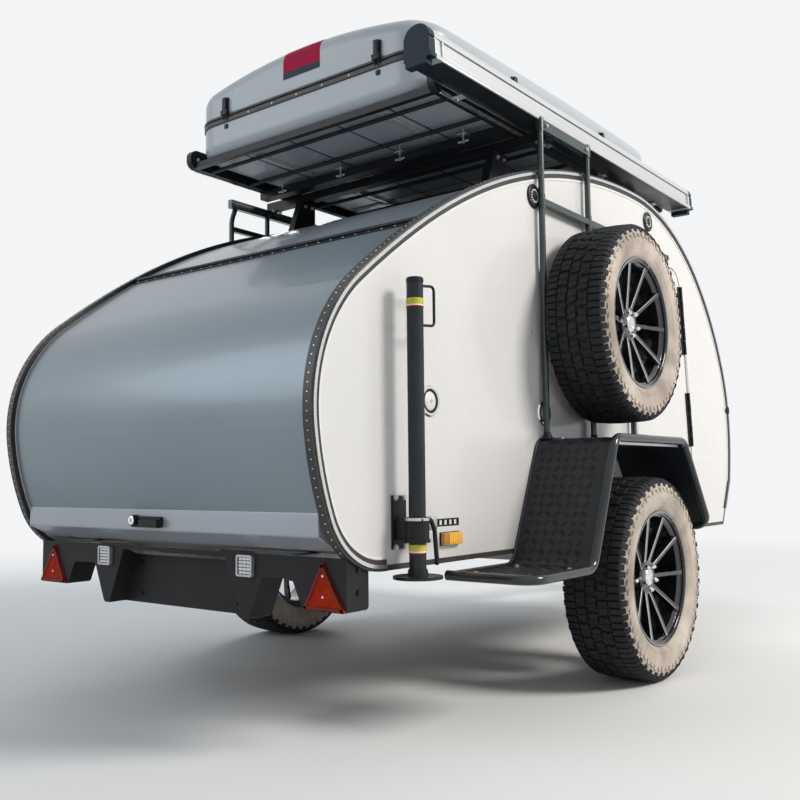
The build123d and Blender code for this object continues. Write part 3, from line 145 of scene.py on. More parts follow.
def surface(name, colour, rough, other, metallic=0.0, vary=4.0, spread=0.06, grain=None, coat=0.0, spec=0.5,
            dust=None, streak=None, detail=6.0):
    """A procedural finish: two tones, uneven gloss, optional fine grain, streaks and dust.

    grain is its strength and scale, dust its amount low down and the heights in mm where it starts to thin
    and where it ends.
    """
    mat = M[name] = bpy.data.materials.new(name)
    mat.use_nodes = True
    tree = mat.node_tree
    place = source = node(tree, "TexCoord").outputs["Object"]
    if streak:
        source = node(tree, "Mapping", {"Vector": place, "Scale": streak})
    cloud = node(tree, "TexNoise", {"Vector": source, "Scale": vary, "Detail": detail, "Roughness": 0.55})
    tone = node(tree, "ValToRGB", {"Fac": cloud})
    for stop, position, shade in zip(tone.color_ramp.elements, (0.35, 0.68), (colour, other)):
        stop.position, stop.color = position, (*shade, 1)
    gloss = node(tree, "MapRange", {"Value": cloud, "From Min": 0.3, "From Max": 0.7,
                                    "To Min": max(0.02, rough - spread), "To Max": min(1, rough + spread)})
    if dust:
        amount, low, high = dust
        height = node(tree, "SeparateXYZ", {"Vector": place}).outputs["Z"]
        fall = node(tree, "MapRange", {"Value": height, "From Min": low / 1000, "From Max": high / 1000,
                                       "To Min": amount, "To Max": 0.0})
        specks = node(tree, "TexNoise", {"Vector": place, "Scale": 38.0, "Detail": 8.0, "Roughness": 0.7})
        share = node(tree, "Math", {0: fall, 1: specks}, operation="MULTIPLY")
        tone = node(tree, "Mix", {"Factor": share, 6: tone, 7: (*DUST, 1)}, data_type="RGBA").outputs[2]
        gloss = node(tree, "Math", {0: share, 1: gloss}, operation="ADD", use_clamp=True)
    shader = tree.nodes["Principled BSDF"]
    feed(tree, shader, {"Base Color": tone, "Roughness": gloss, "Metallic": metallic, "Coat Weight": coat,
                        "Coat Roughness": 0.10, "Specular IOR Level": spec})
    if grain:
        fine = node(tree, "TexNoise", {"Vector": place, "Scale": grain[1], "Detail": 4.0, "Roughness": 0.6})
        bump = node(tree, "Bump", {"Height": fine, "Strength": grain[0], "Distance": 0.0006})
        feed(tree, shader, {"Normal": bump})


surface("white", (0.66, 0.65, 0.635), 0.28, (0.685, 0.675, 0.66), vary=2.6, detail=12, coat=0.35,
        dust=(0.12, 500, 900))
# The hatch's silver is set darker and bluer than its own light silver grey: painted shade, tinted by the sky.
surface("silver_painted_shade", (0.182, 0.230, 0.266), 0.32, (0.212, 0.262, 0.298), metallic=0.35, vary=1.0, coat=0.25,
        grain=(0.08, 1800), dust=(0.16, 520, 900))
surface("skirt", (0.31, 0.345, 0.385), 0.30, (0.35, 0.385, 0.425), metallic=0.3, vary=1.6, coat=0.25,
        grain=(0.08, 1800), dust=(0.20, 520, 620))
surface("roof", (0.27, 0.32, 0.36), 0.32, (0.31, 0.36, 0.40), metallic=0.35, vary=1.0, coat=0.25,
        grain=(0.08, 1800))
surface("lining", (0.66, 0.64, 0.60), 0.62, (0.70, 0.68, 0.64), vary=14, grain=(0.35, 700))
surface("board", (0.10, 0.085, 0.07), 0.5, (0.15, 0.12, 0.10), vary=9, grain=(0.3, 300), dust=(0.4, 400, 620))
surface("ply", (0.56, 0.42, 0.27), 0.42, (0.66, 0.52, 0.36), vary=5, streak=(1, 9, 60), grain=(0.2, 300))
surface("rubber", (0.012, 0.012, 0.013), 0.42, (0.022, 0.022, 0.023), vary=22, grain=(0.15, 500),
        dust=(0.12, 500, 900))
surface("bead", (0.62, 0.62, 0.62), 0.22, (0.70, 0.70, 0.70), metallic=0.9, vary=30, streak=(1, 1, 8))
surface("bumper", (0.012, 0.012, 0.014), 0.48, (0.020, 0.020, 0.022), vary=10, grain=(0.5, 900), spec=0.18,
        dust=(0.03, 330, 560))
surface("steel", (0.40, 0.41, 0.42), 0.42, (0.56, 0.57, 0.58), metallic=0.85, vary=26, detail=10,
        grain=(0.2, 260), dust=(0.5, 200, 620))
surface("black", (0.007, 0.009, 0.011), 0.36, (0.013, 0.015, 0.018), vary=12, grain=(0.25, 1100), spec=0.22)
surface("carrier", (0.010, 0.026, 0.026), 0.26, (0.016, 0.036, 0.035), vary=10, grain=(0.15, 1100), coat=0.3)
surface("gloss", (0.012, 0.017, 0.020), 0.12, (0.020, 0.026, 0.030), vary=8, spec=0.3, coat=0.3,
        dust=(0.10, 380, 700))
surface("plate", (0.008, 0.010, 0.014), 0.34, (0.016, 0.019, 0.024), vary=7, grain=(0.3, 700), spec=0.3,
        coat=0.05, dust=(0.05, 400, 700))
surface("tread", (0.011, 0.013, 0.016), 0.66, (0.026, 0.027, 0.030), vary=30, spec=0.2, grain=(0.8, 420),
        detail=10)
surface("groove", (0.008, 0.008, 0.008), 0.9, (0.040, 0.036, 0.031), vary=40, grain=(0.6, 300), detail=10)
surface("sidewall", (0.27, 0.225, 0.19), 0.85, (0.60, 0.52, 0.45), vary=6, grain=(0.6, 240), detail=12)
surface("rim", (0.006, 0.007, 0.008), 0.10, (0.012, 0.013, 0.014), vary=9, coat=0.8)
surface("edge", (0.46, 0.47, 0.48), 0.24, (0.60, 0.61, 0.62), metallic=0.9, vary=30)
surface("chrome", (0.74, 0.74, 0.74), 0.10, (0.80, 0.80, 0.80), metallic=1.0, vary=20)
# The tent's shell is set darker and bluer than its own light grey: painted shade, tinted by the sky.
surface("shell_painted_shade", (0.36, 0.395, 0.425), 0.36, (0.40, 0.435, 0.465), vary=1.5, coat=0.2, grain=(0.1, 500))
surface("fabric", (0.16, 0.17, 0.18), 0.9, (0.22, 0.23, 0.24), vary=60, grain=(0.9, 1400))
surface("alu", (0.52, 0.53, 0.54), 0.34, (0.57, 0.58, 0.59), metallic=0.45, vary=8, streak=(1, 0.2, 20),
        coat=0.2)
surface("cap", (0.006, 0.018, 0.030), 0.40, (0.010, 0.026, 0.040), vary=10, grain=(0.3, 900), spec=0.15)
surface("red", (0.30, 0.012, 0.002), 0.5, (0.40, 0.028, 0.004), vary=40, spec=0.06)
surface("dark_red", (0.13, 0.009, 0.006), 0.42, (0.18, 0.014, 0.008), vary=40, spec=0.25)
surface("amber", (0.85, 0.42, 0.04), 0.22, (0.92, 0.50, 0.06), vary=60, coat=0.5)
surface("lens", (0.55, 0.50, 0.48), 0.12, (0.68, 0.66, 0.66), vary=90, coat=0.8)
surface("yellow", (0.46, 0.44, 0.04), 0.5, (0.54, 0.51, 0.06), vary=30, spec=0.2)
surface("crimson", (0.36, 0.006, 0.040), 0.6, (0.41, 0.010, 0.050), vary=14, grain=(0.1, 300), spec=0.12)
surface("brown", (0.46, 0.19, 0.025), 0.25, (0.54, 0.24, 0.035), vary=40, coat=0.5)
surface("cell", (0.62, 0.62, 0.63), 0.10, (0.86, 0.86, 0.87), vary=260, coat=0.9)
surface("zinc", (0.46, 0.47, 0.48), 0.36, (0.62, 0.63, 0.64), metallic=0.85, vary=60, grain=(0.1, 300))
surface("leg", (0.010, 0.015, 0.019), 0.32, (0.016, 0.022, 0.027), vary=10, grain=(0.2, 900), spec=0.25,
        coat=0.1)
surface("white_band", (0.74, 0.74, 0.73), 0.4, (0.80, 0.80, 0.79), vary=30)
surface("glass", (0.012, 0.014, 0.016), 0.05, (0.016, 0.018, 0.020), vary=3, coat=0.9, spread=0.02)
surface("pale", (0.70, 0.69, 0.66), 0.4, (0.76, 0.75, 0.72), vary=20)

# The finish of each CAD node
DRESS = {
    "white": "wall_right wall_left door_right door_left", "roof": "roof_skin", "silver_painted_shade": "hatch",
    "board": "floor", "lining": "bulkhead", "ply": "galley_counter", "rubber": "edge_trims",
    "bead": "edge_beads", "bumper": "bumper", "lens": "tail_lamps", "red": "reflectors",
    "amber": "side_lamps", "plate": "fenders", "gloss": "fender_tubes",
    "carrier": "side_carriers spare_bracket",
    "black": "hatch_hinge door_hinges hatch_handle coupling_head rack_supports rack_frame rack_bars "
             "awning_brackets leg_clamps brake_drum_right brake_drum_left",
    "steel": "chassis_rails cross_members drawbar jockey_case jockey_tube jockey_fork axle_tube "
             "trailing_arms",
    "shell_painted_shade": "tent_tray tent_lid", "fabric": "tent_bedding", "alu": "awning_case", "cap": "awning_caps",
    "leg": "steady_leg_right steady_leg_left", "glass": "door_glass_right door_glass_left",
    "tread": "jockey_wheel tyre_right tyre_left spare_tyre", "rim": "rim_right rim_left spare_rim",
}
for finish, names in DRESS.items():
    for name in names.split():
        materials, faces = NODES[name].data.materials, NODES[name].data.polygons
        materials.clear()
        materials.append(M[finish])
        faces.foreach_set("material_index", [0] * len(faces))


def rounded_path(points, radius, closed=False, steps=6):
    """Corner points joined by straight runs and arcs of about the given radius."""
    points = [Vector(p) for p in points]
    made = []
    last = len(points) - 1
    for i, p in enumerate(points):
        u, v = points[i - 1] - p, points[(i + 1) % len(points)] - p
        turn = pi if not closed and i in (0, last) else u.angle(v)
        if turn > pi - 0.02:
            made.append(p.copy())
            continue
        cut = min(radius / tan(turn / 2), u.length * 0.49, v.length * 0.49)
        u.normalize()
        v.normalize()
        centre = p + (u + v).normalized() * (cut * tan(turn / 2) / sin(turn / 2))
        start, end = p + u * cut - centre, p + v * cut - centre
        sweep = start.angle(end)
        for k in range(steps + 1):
            t = k / steps
            made.append(centre + (start * sin((1 - t) * sweep) + end * sin(t * sweep)) / sin(sweep))
    return made


def lay(p, depth, axis):
    """A point of a flat outline at a depth: X takes (y, z), Y takes (x, z), Z takes (x, y)."""
    at = "XYZ".index(axis)
    return (*p[:at], depth, *p[at:])


def around(sides):
    """Even angles round a circle."""
    return [2 * pi * k / sides for k in range(sides)]


def ring(centre, side, up, radius, sides):
    """Points round a circle that two directions span."""
    return [centre + side * (cos(a) * radius) + up * (sin(a) * radius) for a in around(sides)]


class Piece:
    """One mesh gathered from simple forms, given in millimetres."""

    def __init__(self, name, body, *materials):
        self.name, self.body, self.materials = name, body, materials
        self.verts, self.faces, self.indices = [], [], []

    def add(self, verts, faces, material=0):
        start = len(self.verts)
        self.verts += [tuple(v) for v in verts]
        self.faces += [tuple(start + i for i in f) for f in faces]
        self.indices += [material] * len(faces)

    def take(self, bm, material):
        bmesh.ops.recalc_face_normals(bm, faces=bm.faces)
        bm.verts.index_update()
        self.add([v.co.copy() for v in bm.verts], [[v.index for v in f.verts] for f in bm.faces], material)
        bm.free()

    def soften(self, bm, edges, bevel):
        if bevel:
            bmesh.ops.bevel(bm, geom=list(edges), offset=bevel, segments=2, profile=0.5, affect="EDGES",
                            clamp_overlap=True)

    def box(self, centre, size, bevel, material=0, turn=None):
        bm = bmesh.new()
        bmesh.ops.create_cube(bm, size=1)
        for v in bm.verts:
            v.co = v.co * Vector(size)
        self.soften(bm, bm.edges, bevel)
        for v in bm.verts:
            v.co = (turn @ v.co if turn else v.co) + Vector(centre)
        self.take(bm, material)

    def prism(self, outline, axis, low, high, bevel=0.0, material=0):
        """A flat outline pushed along an axis, with softened rims."""
        bm = bmesh.new()
        near, far = ([bm.verts.new(lay(p, d, axis)) for p in outline] for d in (low, high))
        bm.faces.new(near)
        bm.faces.new(far[::-1])
        for a, b, c, d in zip(near, near[1:] + near[:1], far[1:] + far[:1], far):
            bm.faces.new((a, b, c, d))
        self.soften(bm, [e for e in bm.edges if (e.verts[0] in near) == (e.verts[1] in near)], bevel)
        self.take(bm, material)

    def rings(self, loops, material=0, closed=False, whole=True):
        """Skin a run of point loops of equal length, with its ends capped unless it is closed.

        Loops that aren't whole have no face between their last point and their first.
        """
        size, count = len(loops[0]), len(loops)
        faces = []
        for i, j in product(range(count if closed else count - 1), range(size if whole else size - 1)):
            low, high, k = i * size, (i + 1) % count * size, (j + 1) % size
            faces.append((low + j, low + k, high + k, high + j))
        if not closed:
            faces.append(tuple(range(size))[::-1])
            faces.append(tuple(range((count - 1) * size, count * size)))
        self.add([p for loop in loops for p in loop], faces, material)

    def bar(self, ends, section, material=0):
        """A straight bar whose section is a ring of offsets from each of its ends."""
        self.rings([[end + offset for offset in section] for end in ends], material)

    def tube(self, points, radius, bend, sides, material=0):
        path = rounded_path(points, bend) if bend else [Vector(p) for p in points]
        loops = []
        side = (path[1] - path[0]).orthogonal().normalized()
        for p, before, after in zip(path, path[:1] + path, path[1:] + path[-1:]):
            ahead = (after - before).normalized()
            side = (side - ahead * side.dot(ahead)).normalized()
            loops.append(ring(p, side, ahead.cross(side), radius, sides))
        self.rings(loops, material)

    def cyl(self, start, end, radius, sides, material=0, end_radius=None, bevel=0.0):
        start, end = Vector(start), Vector(end)
        ahead = (end - start).normalized()
        end_radius = radius if end_radius is None else end_radius
        marks = [(start, radius), (end, end_radius)]
        if bevel:
            marks = [(start, radius - bevel), (start + ahead * bevel, radius),
                     (end - ahead * bevel, end_radius), (end, end_radius - bevel)]
        side = ahead.orthogonal().normalized()
        self.rings([ring(p, side, ahead.cross(side), r, sides) for p, r in marks], material)

    def stud(self, place, axis, height, radius, sides=12, material=0, end_radius=None):
        """A short round post or cone on a surface."""
        self.cyl(place, Vector(place) + Vector(axis) * height, radius, sides, material, end_radius)

    def bolt(self, place, axis, across, height, material=0, washer=True):
        """A hexagon head with its washer, standing on a surface."""
        place, axis = Vector(place), Vector(axis)
        if washer:
            self.stud(place, axis, WASHER_T, across * WASHER_R, 20, material)
            place = place + axis * WASHER_T
        self.cyl(place, place + axis * height, across * HEXAGON_R, 6, material, bevel=0.8)

    def lathe(self, centre, axis, profile, sides, material=0, closed=True):
        """Turn a profile of (along, radius) round an axis through the centre."""
        centre, axis = Vector(centre), Vector(axis)
        side = Vector(UP) if abs(axis.z) < 0.9 else vx(1)
        up = axis.cross(side)
        loops = []
        for a in around(sides):
            out = side * cos(a) + up * sin(a)
            loops.append([centre + axis * s + out * r for s, r in profile])
        self.rings(loops, material, True, closed)

    def sphere(self, centre, radius, segments, material=0):
        bm = bmesh.new()
        bmesh.ops.create_uvsphere(bm, u_segments=segments, v_segments=segments // 2, radius=radius)
        for v in bm.verts:
            v.co += Vector(centre)
        self.take(bm, material)

    def band(self, inner, outer, low, high, material=0, closed=True, axis="X"):
        """A flat strip between two outlines of as many points, from one depth to another."""
        loops = [[lay(a, low, axis), lay(a, high, axis), lay(b, high, axis), lay(b, low, axis)]
                 for a, b in zip(inner, outer)]
        self.rings(loops, material, closed)

    def drape(self, node_name, points, across, ray, lift):
        """A thin sheet laid on a CAD node: a grid of points thrown at it along a ray."""
        source = NODES[node_name]
        tree = BVHTree.FromObject(source, bpy.context.evaluated_depsgraph_get())
        into = source.matrix_world.inverted()
        ray = Vector(ray)
        verts = []
        for p in points:
            hit, normal, _, _ = tree.ray_cast(into @ (Vector(p) / 1000), ray)
            normal = normal if normal.dot(ray) < 0 else -normal
            verts.append(source.matrix_world @ hit * 1000 + normal * lift)
        rows, count = len(points) // across, len(points)
        faces = [(k, k + 1, k + across + 1, k + across)
                 for k in (i * across + j for i, j in product(range(rows - 1), range(across - 1)))]
        edge = [*range(across), *range(2 * across - 1, count, across)]
        edge += [*range(count - 2, count - across - 1, -1), *range((rows - 2) * across, 0, -across)]
        faces += [(a, b, b + count, a + count) for a, b in zip(edge, edge[1:] + edge[:1])]
        self.add(verts + [v + ray * (lift + 1.0) for v in verts], faces)

    def done(self, replaces=(), angle=34):
        mesh = bpy.data.meshes.new(self.name)
        mesh.from_pydata([Vector(v) / 1000 for v in self.verts], [], self.faces)
        for mat in self.materials:
            mesh.materials.append(M[mat])
        for face, index in zip(mesh.polygons, self.indices):
            face.material_index = index
        mesh.validate()
        bm = bmesh.new()
        bm.from_mesh(mesh)
        bmesh.ops.recalc_face_normals(bm, faces=bm.faces)
        bm.to_mesh(mesh)
        bm.free()
        mesh.shade_smooth()
        mesh.set_sharp_from_angle(angle=radians(angle))
        made = stand(self.name, mesh)
        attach(made, self.body)
        if replaces:
            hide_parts(*replaces)


def chain(points, tangent):
    """Points with outward normals along tangent arcs that start at the roof's top."""
    p, t = Vector(ROOF_TOP), Vector(tangent)
    made = []
    steps = 14
    for q in points:
        q = Vector(q)
        n = Vector((-t.y, t.x))
        r = (q - p).length_squared / (2 * (q - p).dot(n))
        c = p + n * r
        a0, a1 = (atan2(end.y - c.y, end.x - c.x) for end in (p, q))
        if r > 0 and a1 < a0:
            a1 += 2 * pi
        if r < 0 and a1 > a0:
            a1 -= 2 * pi
        for k in range(steps + 1):
            a = a0 + (a1 - a0) * k / steps
            out = Vector((cos(a), sin(a)))
            if k < steps:
                made.append((c + out * abs(r), out))
        t = Vector((-out.y, out.x)) * (1 if r > 0 else -1)
        p = q
    return made + [(p, out)]


REAR, FRONT = chain(REAR_POINTS, (-1, 0)), chain(FRONT_POINTS, (1, 0))


def body_edge(inset):
    """The side profile as (y, z) points from the tail's foot over the roof to the nose's foot."""
    return [(p.x - n.x * inset + AXLE, p.y - n.y * inset) for p, n in REAR[::-1] + FRONT[1:]]


def skin_y(z):
    """How far back the tail's skin is at a height."""
    edge = [p - n * TRIM_RISE for p, n in REAR]
    for a, b in zip(edge, edge[1:]):
        if a.y >= z > b.y:
            return AXLE + a.x + (b.x - a.x) * (a.y - z) / (a.y - b.y)


def even_marks(path, pitch):
    """Places and normals at even steps along a run of (point, normal) pairs."""
    made, rest = [], pitch / 2
    for (p, n), (q, m) in zip(path, path[1:]):
        length = (q - p).length
        while rest < length:
            t = rest / length
            made.append((p.lerp(q, t), n.lerp(m, t).normalized()))
            rest += pitch
        rest -= length
    return made


def rectangle(u, v, half_w, half_h):
    """Corners round a middle, from the low ones round to the high ones."""
    return [(u + i * half_w, v + j * half_h) for i, j in ((-1, -1), (1, -1), (1, 1), (-1, 1))]


def grown(corners, radius, amount, steps=8):
    """A rounded outline of corner points, moved outwards by the given amount."""
    corners = [Vector(p) for p in corners]
    count = len(corners)
    mid = Vector([sum(c) / count for c in zip(*corners)])
    moved = []
    for i, p in enumerate(corners):
        normals = []
        for a, b in ((corners[i - 1], p), (p, corners[(i + 1) % count])):
            n = Vector(((b - a).y, -(b - a).x)).normalized()
            normals.append(n if n.dot(p - mid) > 0 else -n)
        half = (normals[0] + normals[1]).normalized()
        moved.append(p + half * (amount / half.dot(normals[0])))
    path = rounded_path([(0, *p) for p in moved], radius + amount, closed=True, steps=steps)
    return [(p.y, p.z) for p in path]


# Tyre profiles give (across, below the tread's crown), block outlines (along, across).
CARCASS = ((-101, 15), (-60, 11), (0, 9.5), (60, 11), (101, 15))
SIDEWALL = (
    (101, 15), (109, 24), (113.5, 36), (116, 52), (117, 70), (116, 86), (113, 98), (112, 99), (111, 101),
    (112, 103), (108, 113), (103, 121), (98, 126), (94.5, 128.5), (94, 140.5),
)
LINER = ((94, 140.5), (70, 139.5), (100, 70), (80, 24), (0, 22))
MIDDLE_BLOCK = ((-26, -6), (-19, -17), (-5, -14), (-1, -17), (-3, -4), (0, 5), (-2, 15), (-13, 17), (-21, 10))
FLANK_BLOCKS = (
    ((-26, 27), (-15, 21), (-1, 24), (-3.5, 34), (0, 44), (-2.5, 56), (-14, 58.5), (-24, 54), (-21, 41)),
    ((1.5, 22), (12, 25), (23, 21), (27, 33), (22, 43), (26, 56), (11, 58.5), (0.5, 54.5), (3, 45),
     (-0.5, 35)),
)
PITCHES, SHOULDERS, LUGS = 40, 90, 60
SLIT = 0.9


def tyre(name, body, centre, node_name):
    """An all-terrain tyre: carcass, tread blocks, shoulder blocks and sidewall lugs."""
    cx, cy, cz = centre
    piece = Piece(name, body, "tread", "groove", "sidewall")

    def at(u, v, r):
        a = u / TYRE_R
        return (cx + v, cy + r * sin(a), cz + r * cos(a))

    def turned(side, profile, sides, material):
        profile = [(v, TYRE_R - below) for v, below in profile]
        piece.lathe(centre, (side, 0, 0), profile, sides, material, closed=False)

    def block(outline, along, side, shift):
        outline = [(along + (u + shift) * side, v * side) for u, v in outline]
        count = len(outline)
        mid_u, mid_v = (sum(c) / count for c in zip(*outline))
        verts = []
        for (depth, shrink), (u, v) in product(((12.0, -1.3), (1.2, 0.0), (0.0, 1.0)), outline):
            du, dv = u - mid_u, v - mid_v
            k = 1 - shrink / hypot(du, dv)
            verts.append(at(mid_u + du * k, mid_v + dv * k, TYRE_R - 5.0 * (v / 100) ** 2 - depth))
        faces = [tuple(range(2 * count, 3 * count))]
        for low, i in product((0, count), range(count)):
            j = (i + 1) % count
            faces.append((low + i, low + j, low + count + j, low + count + i))
        piece.add(verts, faces)

    turned(1, CARCASS, 120, 1)
    for s in (1, -1):
        turned(s, SIDEWALL, 120, 2)
        turned(s, LINER, 72, 1)
    step = 2 * pi * TYRE_R / PITCHES
    for k, s in product(range(PITCHES), (1, -1)):
        block(MIDDLE_BLOCK, k * step, s, SLIT)
        for half, shift in zip(FLANK_BLOCKS, (SLIT, -SLIT)):
            block(half, (k + 0.5 + s * 0.25) * step, s, shift)
    step = 2 * pi * TYRE_R / SHOULDERS
    for k, (s, shift) in product(range(SHOULDERS), ((1, 0.25), (-1, 0.75))):
        u = (k + shift) * step
        half, reach = (10.2, 34) if k % 2 else (9.4, 22)
        loops = []
        for v, below, deep in ((62, 2.2, 10), (97, 5.0, 11), (105, 10, 10), (111, 19, 8), (115.5, reach, 4)):
            r = TYRE_R - below
            low_v = (v - (0 if v < 100 else deep * 0.9)) * s
            low_r = r - (deep if v < 106 else deep * 0.35)
            loops.append([at(u - half, v * s, r), at(u + half, v * s, r),
                          at(u + half + 1, low_v, low_r), at(u - half - 1, low_v, low_r)])
        piece.rings(loops)
    half = 0.032
    for k, s in product(range(LUGS), (1, -1)):
        a = (k + 0.5) * 2 * pi / LUGS
        low, high = (38, 58) if k % 2 else (42, 54)
        outline = [(a - half, low), (a + half * 0.7, low + 3), (a + half, high), (a - half * 0.5, high - 4)]
        piece.rings([[at(b * TYRE_R, s * lift, TYRE_R - below) for b, below in outline]
                     for lift in (114.5, 118.6, 119.4)], 2)
    piece.done((node_name,), angle=30)


# Rim profiles give (along the axle, radius), and the spokes (radius, half width, depth).
RIM_LIP = [
    (95, 229), (95, 241), (97, 243.5), (101, 243.5), (102, 241), (101.4, 237.5), (97, 236.2), (96.4, 233.8),
    (92, 232.4), (91.4, 230), (86, 228.4), (84, 224), (74, 217), (-58, 209), (-84, 213), (-96, 226),
    (-101, 241), (-101.5, 243), (-96, 243), (-94, 241), (-94, 229), (-60, 222), (40, 222), (70, 229),
]
RIM_HUB = [(20, 20.4), (20, 60), (28, 64), (46, 64), (52, 60), (54, 52), (54, 36), (50, 34), (50, 20.4)]
RIM_CAP = [(50, 0.1), (50, 33.4), (55, 32.6), (57.6, 29), (58.6, 20), (59, 0.1)]
SPOKE = ((44, 8.5, 30), (70, 8.0, 30), (150, 7.4, 27), (226, 8.6, 34))


def rim(name, body, centre, side, node_name):
    """A ten-spoke rim with polished edges, a star hub and five nuts."""
    piece = Piece(name, body, "rim", "edge", "chrome", "black")
    centre, axis = Vector(centre), vx(side)
    piece.lathe(centre, axis, RIM_LIP, 120)
    for low, high, x in ((238.2, 240.6, 102.2), (229.2, 231.2, 91.9)):
        piece.lathe(centre, axis, [(x - 1.5, low), (x, low + 0.4), (x, high - 0.4), (x - 1.5, high)], 120, 1)
    piece.lathe(centre, axis, RIM_HUB, 60)
    piece.lathe(centre, axis, RIM_CAP, 48, 2)
    for k in range(10):
        a = 2 * pi * k / 10 + pi / 10
        out, across = Vector((0, sin(a), cos(a))), Vector((0, cos(a), -sin(a)))
        verts = []
        for r, half, deep in SPOKE:
            face = 52 + (r - 60) / 160 * 38
            section = [(-half * 0.8, face - deep), (-half, face - 3), (-half + 2.1, face), (half - 2.1, face),
                       (half, face - 3), (half * 0.8, face - deep)]
            verts += [centre + out * r + across * w + axis * d for w, d in section]
        for j, material in enumerate((0, 1, 0, 1, 0, 0)):
            n = (j + 1) % 6
            piece.add(verts, [(low + j, low + n, low + 6 + n, low + 6 + j) for low in (0, 6, 12)], material)
        if k % 2 == 0:
            a += pi / 10
            nut = centre + Vector((0, sin(a), cos(a))) * 45
            piece.cyl(nut + axis * 48, nut + axis * 66, 9.5, 6, 2, bevel=1.2)
            piece.stud(nut + axis * 66, axis, 5, 8.0, 18, 2, 5.0)
    valve = centre + Vector((side * 78, 0, -214))
    piece.cyl(valve, valve + Vector((side * 26, 0, 10)), 4.2, 12, 3, bevel=1)
    piece.done((node_name,), angle=28)


def fender_walk():
    """Places and upward normals at a length along the fender plate, and the whole length."""
    path = rounded_path([(0, AXLE + y, z) for y, z in FENDER_PATH], 60, steps=10)
    marks = [0.0]
    for a, b in zip(path, path[1:]):
        marks.append(marks[-1] + (b - a).length)

    def at(s):
        last = len(path) - 2
        i = next((i for i in range(last) if marks[i + 1] >= s), last)
        a, b = path[i], path[i + 1]
        ahead = (b - a).normalized()
        out = Vector((0, -ahead.z, ahead.y))
        return a + (b - a) * ((s - marks[i]) / (marks[i + 1] - marks[i])), -out if out.z < 0 else out
    return at, marks[-1]


def chequer_bars(label, side):
    """Raised bars of chequer plate, in groups of five that alternate in direction."""
    at, total = fender_walk()
    piece = Piece(f"fender_bars_{label}", "trailer", "plate")
    pitch, spacing, half_long, half_wide, height = 33.0, 5.4, 11.5, 1.5, 1.5
    low, high = HALF_W + 20, HALF_W + 276
    rows, columns, slant = int((total - 30) / pitch), int((high - low) / pitch), 0.7071
    for i, j, k in product(range(rows), range(columns), range(-2, 3)):
        lean = slant if (i + j) % 2 else -slant
        long, wide = Vector((slant, lean)), Vector((slant, -lean))
        mid = Vector((22 + (i + 0.5) * pitch, low + (j + 0.5) * pitch)) + wide * (k * spacing)
        long, wide = long * half_long, wide * half_wide
        verts = []
        for (s, x), h in ((mid - long, 0), (mid + wide, 0), (mid + long, 0), (mid - wide, 0),
                          (mid - long / 2, height), (mid + long / 2, height)):
            p, out = at(s)
            p = p + out * (1.9 + h)
            verts.append((side * x, p.y, p.z))
        piece.add(verts, [(0, 1, 5, 4), (1, 2, 5), (2, 3, 4, 5), (3, 0, 4)])
    piece.done(angle=60)


def edge_trim(label, side):
    """A pale lip inside the black edge of a side wall, and a row of studs along that edge."""
    lip = Piece(f"trim_lip_{label}", "trailer", "pale")
    inner, outer = body_edge(TRIM_RISE + TRIM_SIDE_H + 9), body_edge(TRIM_RISE + TRIM_SIDE_H)
    pairs = [(a, b) for a, b in zip(inner, outer) if b[1] > 569 or (b[0] < TAIL + 303 and b[1] > 508)]
    lip.band(*zip(*pairs), side * (HALF_W - 1), side * (HALF_W + 2.4), closed=False)
    lip.done(angle=40)
    studs = Piece(f"trim_studs_{label}", "trailer", "bead")
    x = side * (HALF_W - TRIM_W / 2 + 3)
    for p, n in even_marks(REAR, 25):
        if 545 < p.y < 1900:
            out = Vector((0, *n))
            studs.stud(Vector((x, p.x + AXLE, p.y)) - out * 0.5, out, 1.7, 2.3, 8, 0, 1.5)
    studs.done(angle=50)


def hatch_skirt():
    """The hatch's upright strip with its bevelled foot."""
    piece = Piece("hatch_skirt", "hatch", "skirt")
    y, foot_y = skin_y(SKIRT_TOP), skin_y(HATCH_FOOT)
    outline = [
        (y + 14, SKIRT_TOP + 2), (y - 0.6, SKIRT_TOP), (y - 1.4, SKIRT_TOP - 4), (y - 2, SKIRT_FOOT + 4),
        (y, SKIRT_FOOT), (foot_y - 3, HATCH_FOOT + 1), (foot_y + 14, HATCH_FOOT + 1),
        (y + 40, SKIRT_FOOT + 20),
    ]
    piece.prism(outline, "X", -HATCH_HALF, HATCH_HALF, bevel=2)
    piece.done(angle=22)


def hatch_hinge_sleeves():
    """Black sleeves and a leaf on the hatch's own knuckles, which turn with it, and the roof's leaf."""
    down = Vector((0, -cos(HATCH_TILT), -sin(HATCH_TILT)))
    out = Vector((0, -sin(HATCH_TILT), cos(HATCH_TILT)))
    piece = Piece("hatch_hinge_sleeves", "hatch", "black", "zinc")
    step = 2 * HATCH_HINGE_HALF / HATCH_KNUCKLES
    for k in range(1, HATCH_KNUCKLES, 2):
        piece.stud(HATCH_SEAM + out * 7 + vx(k * step - HATCH_HINGE_HALF + 1), (1, 0, 0), step - 2, 7.5, 20)
    ends = [HATCH_SEAM + vx(x) for x in (-HATCH_HALF, HATCH_HALF)]
    piece.bar(ends, [down * 8.5 + out * 3.6, down * 27 + out * 3.4, down * 28 + out * 0.2, down * 8.5])
    for k in range(26):
        piece.stud(HATCH_SEAM + vx(k * 54 - 675) + down * 17 + out * 3.3, out, 1.4, 3.4, 12, 1, 2.2)
    piece.done()
    cover = Piece("hatch_seam_seal", "trailer", "rubber")
    ends = [HATCH_SEAM + vx(x) for x in (-HATCH_HINGE_HALF, HATCH_HINGE_HALF)]
    cover.bar(ends, [down * -8.5 + out * 3.4, down * -29 + out * 3.2, down * -34 - out * 0.6, down * -8.5])
    cover.done()


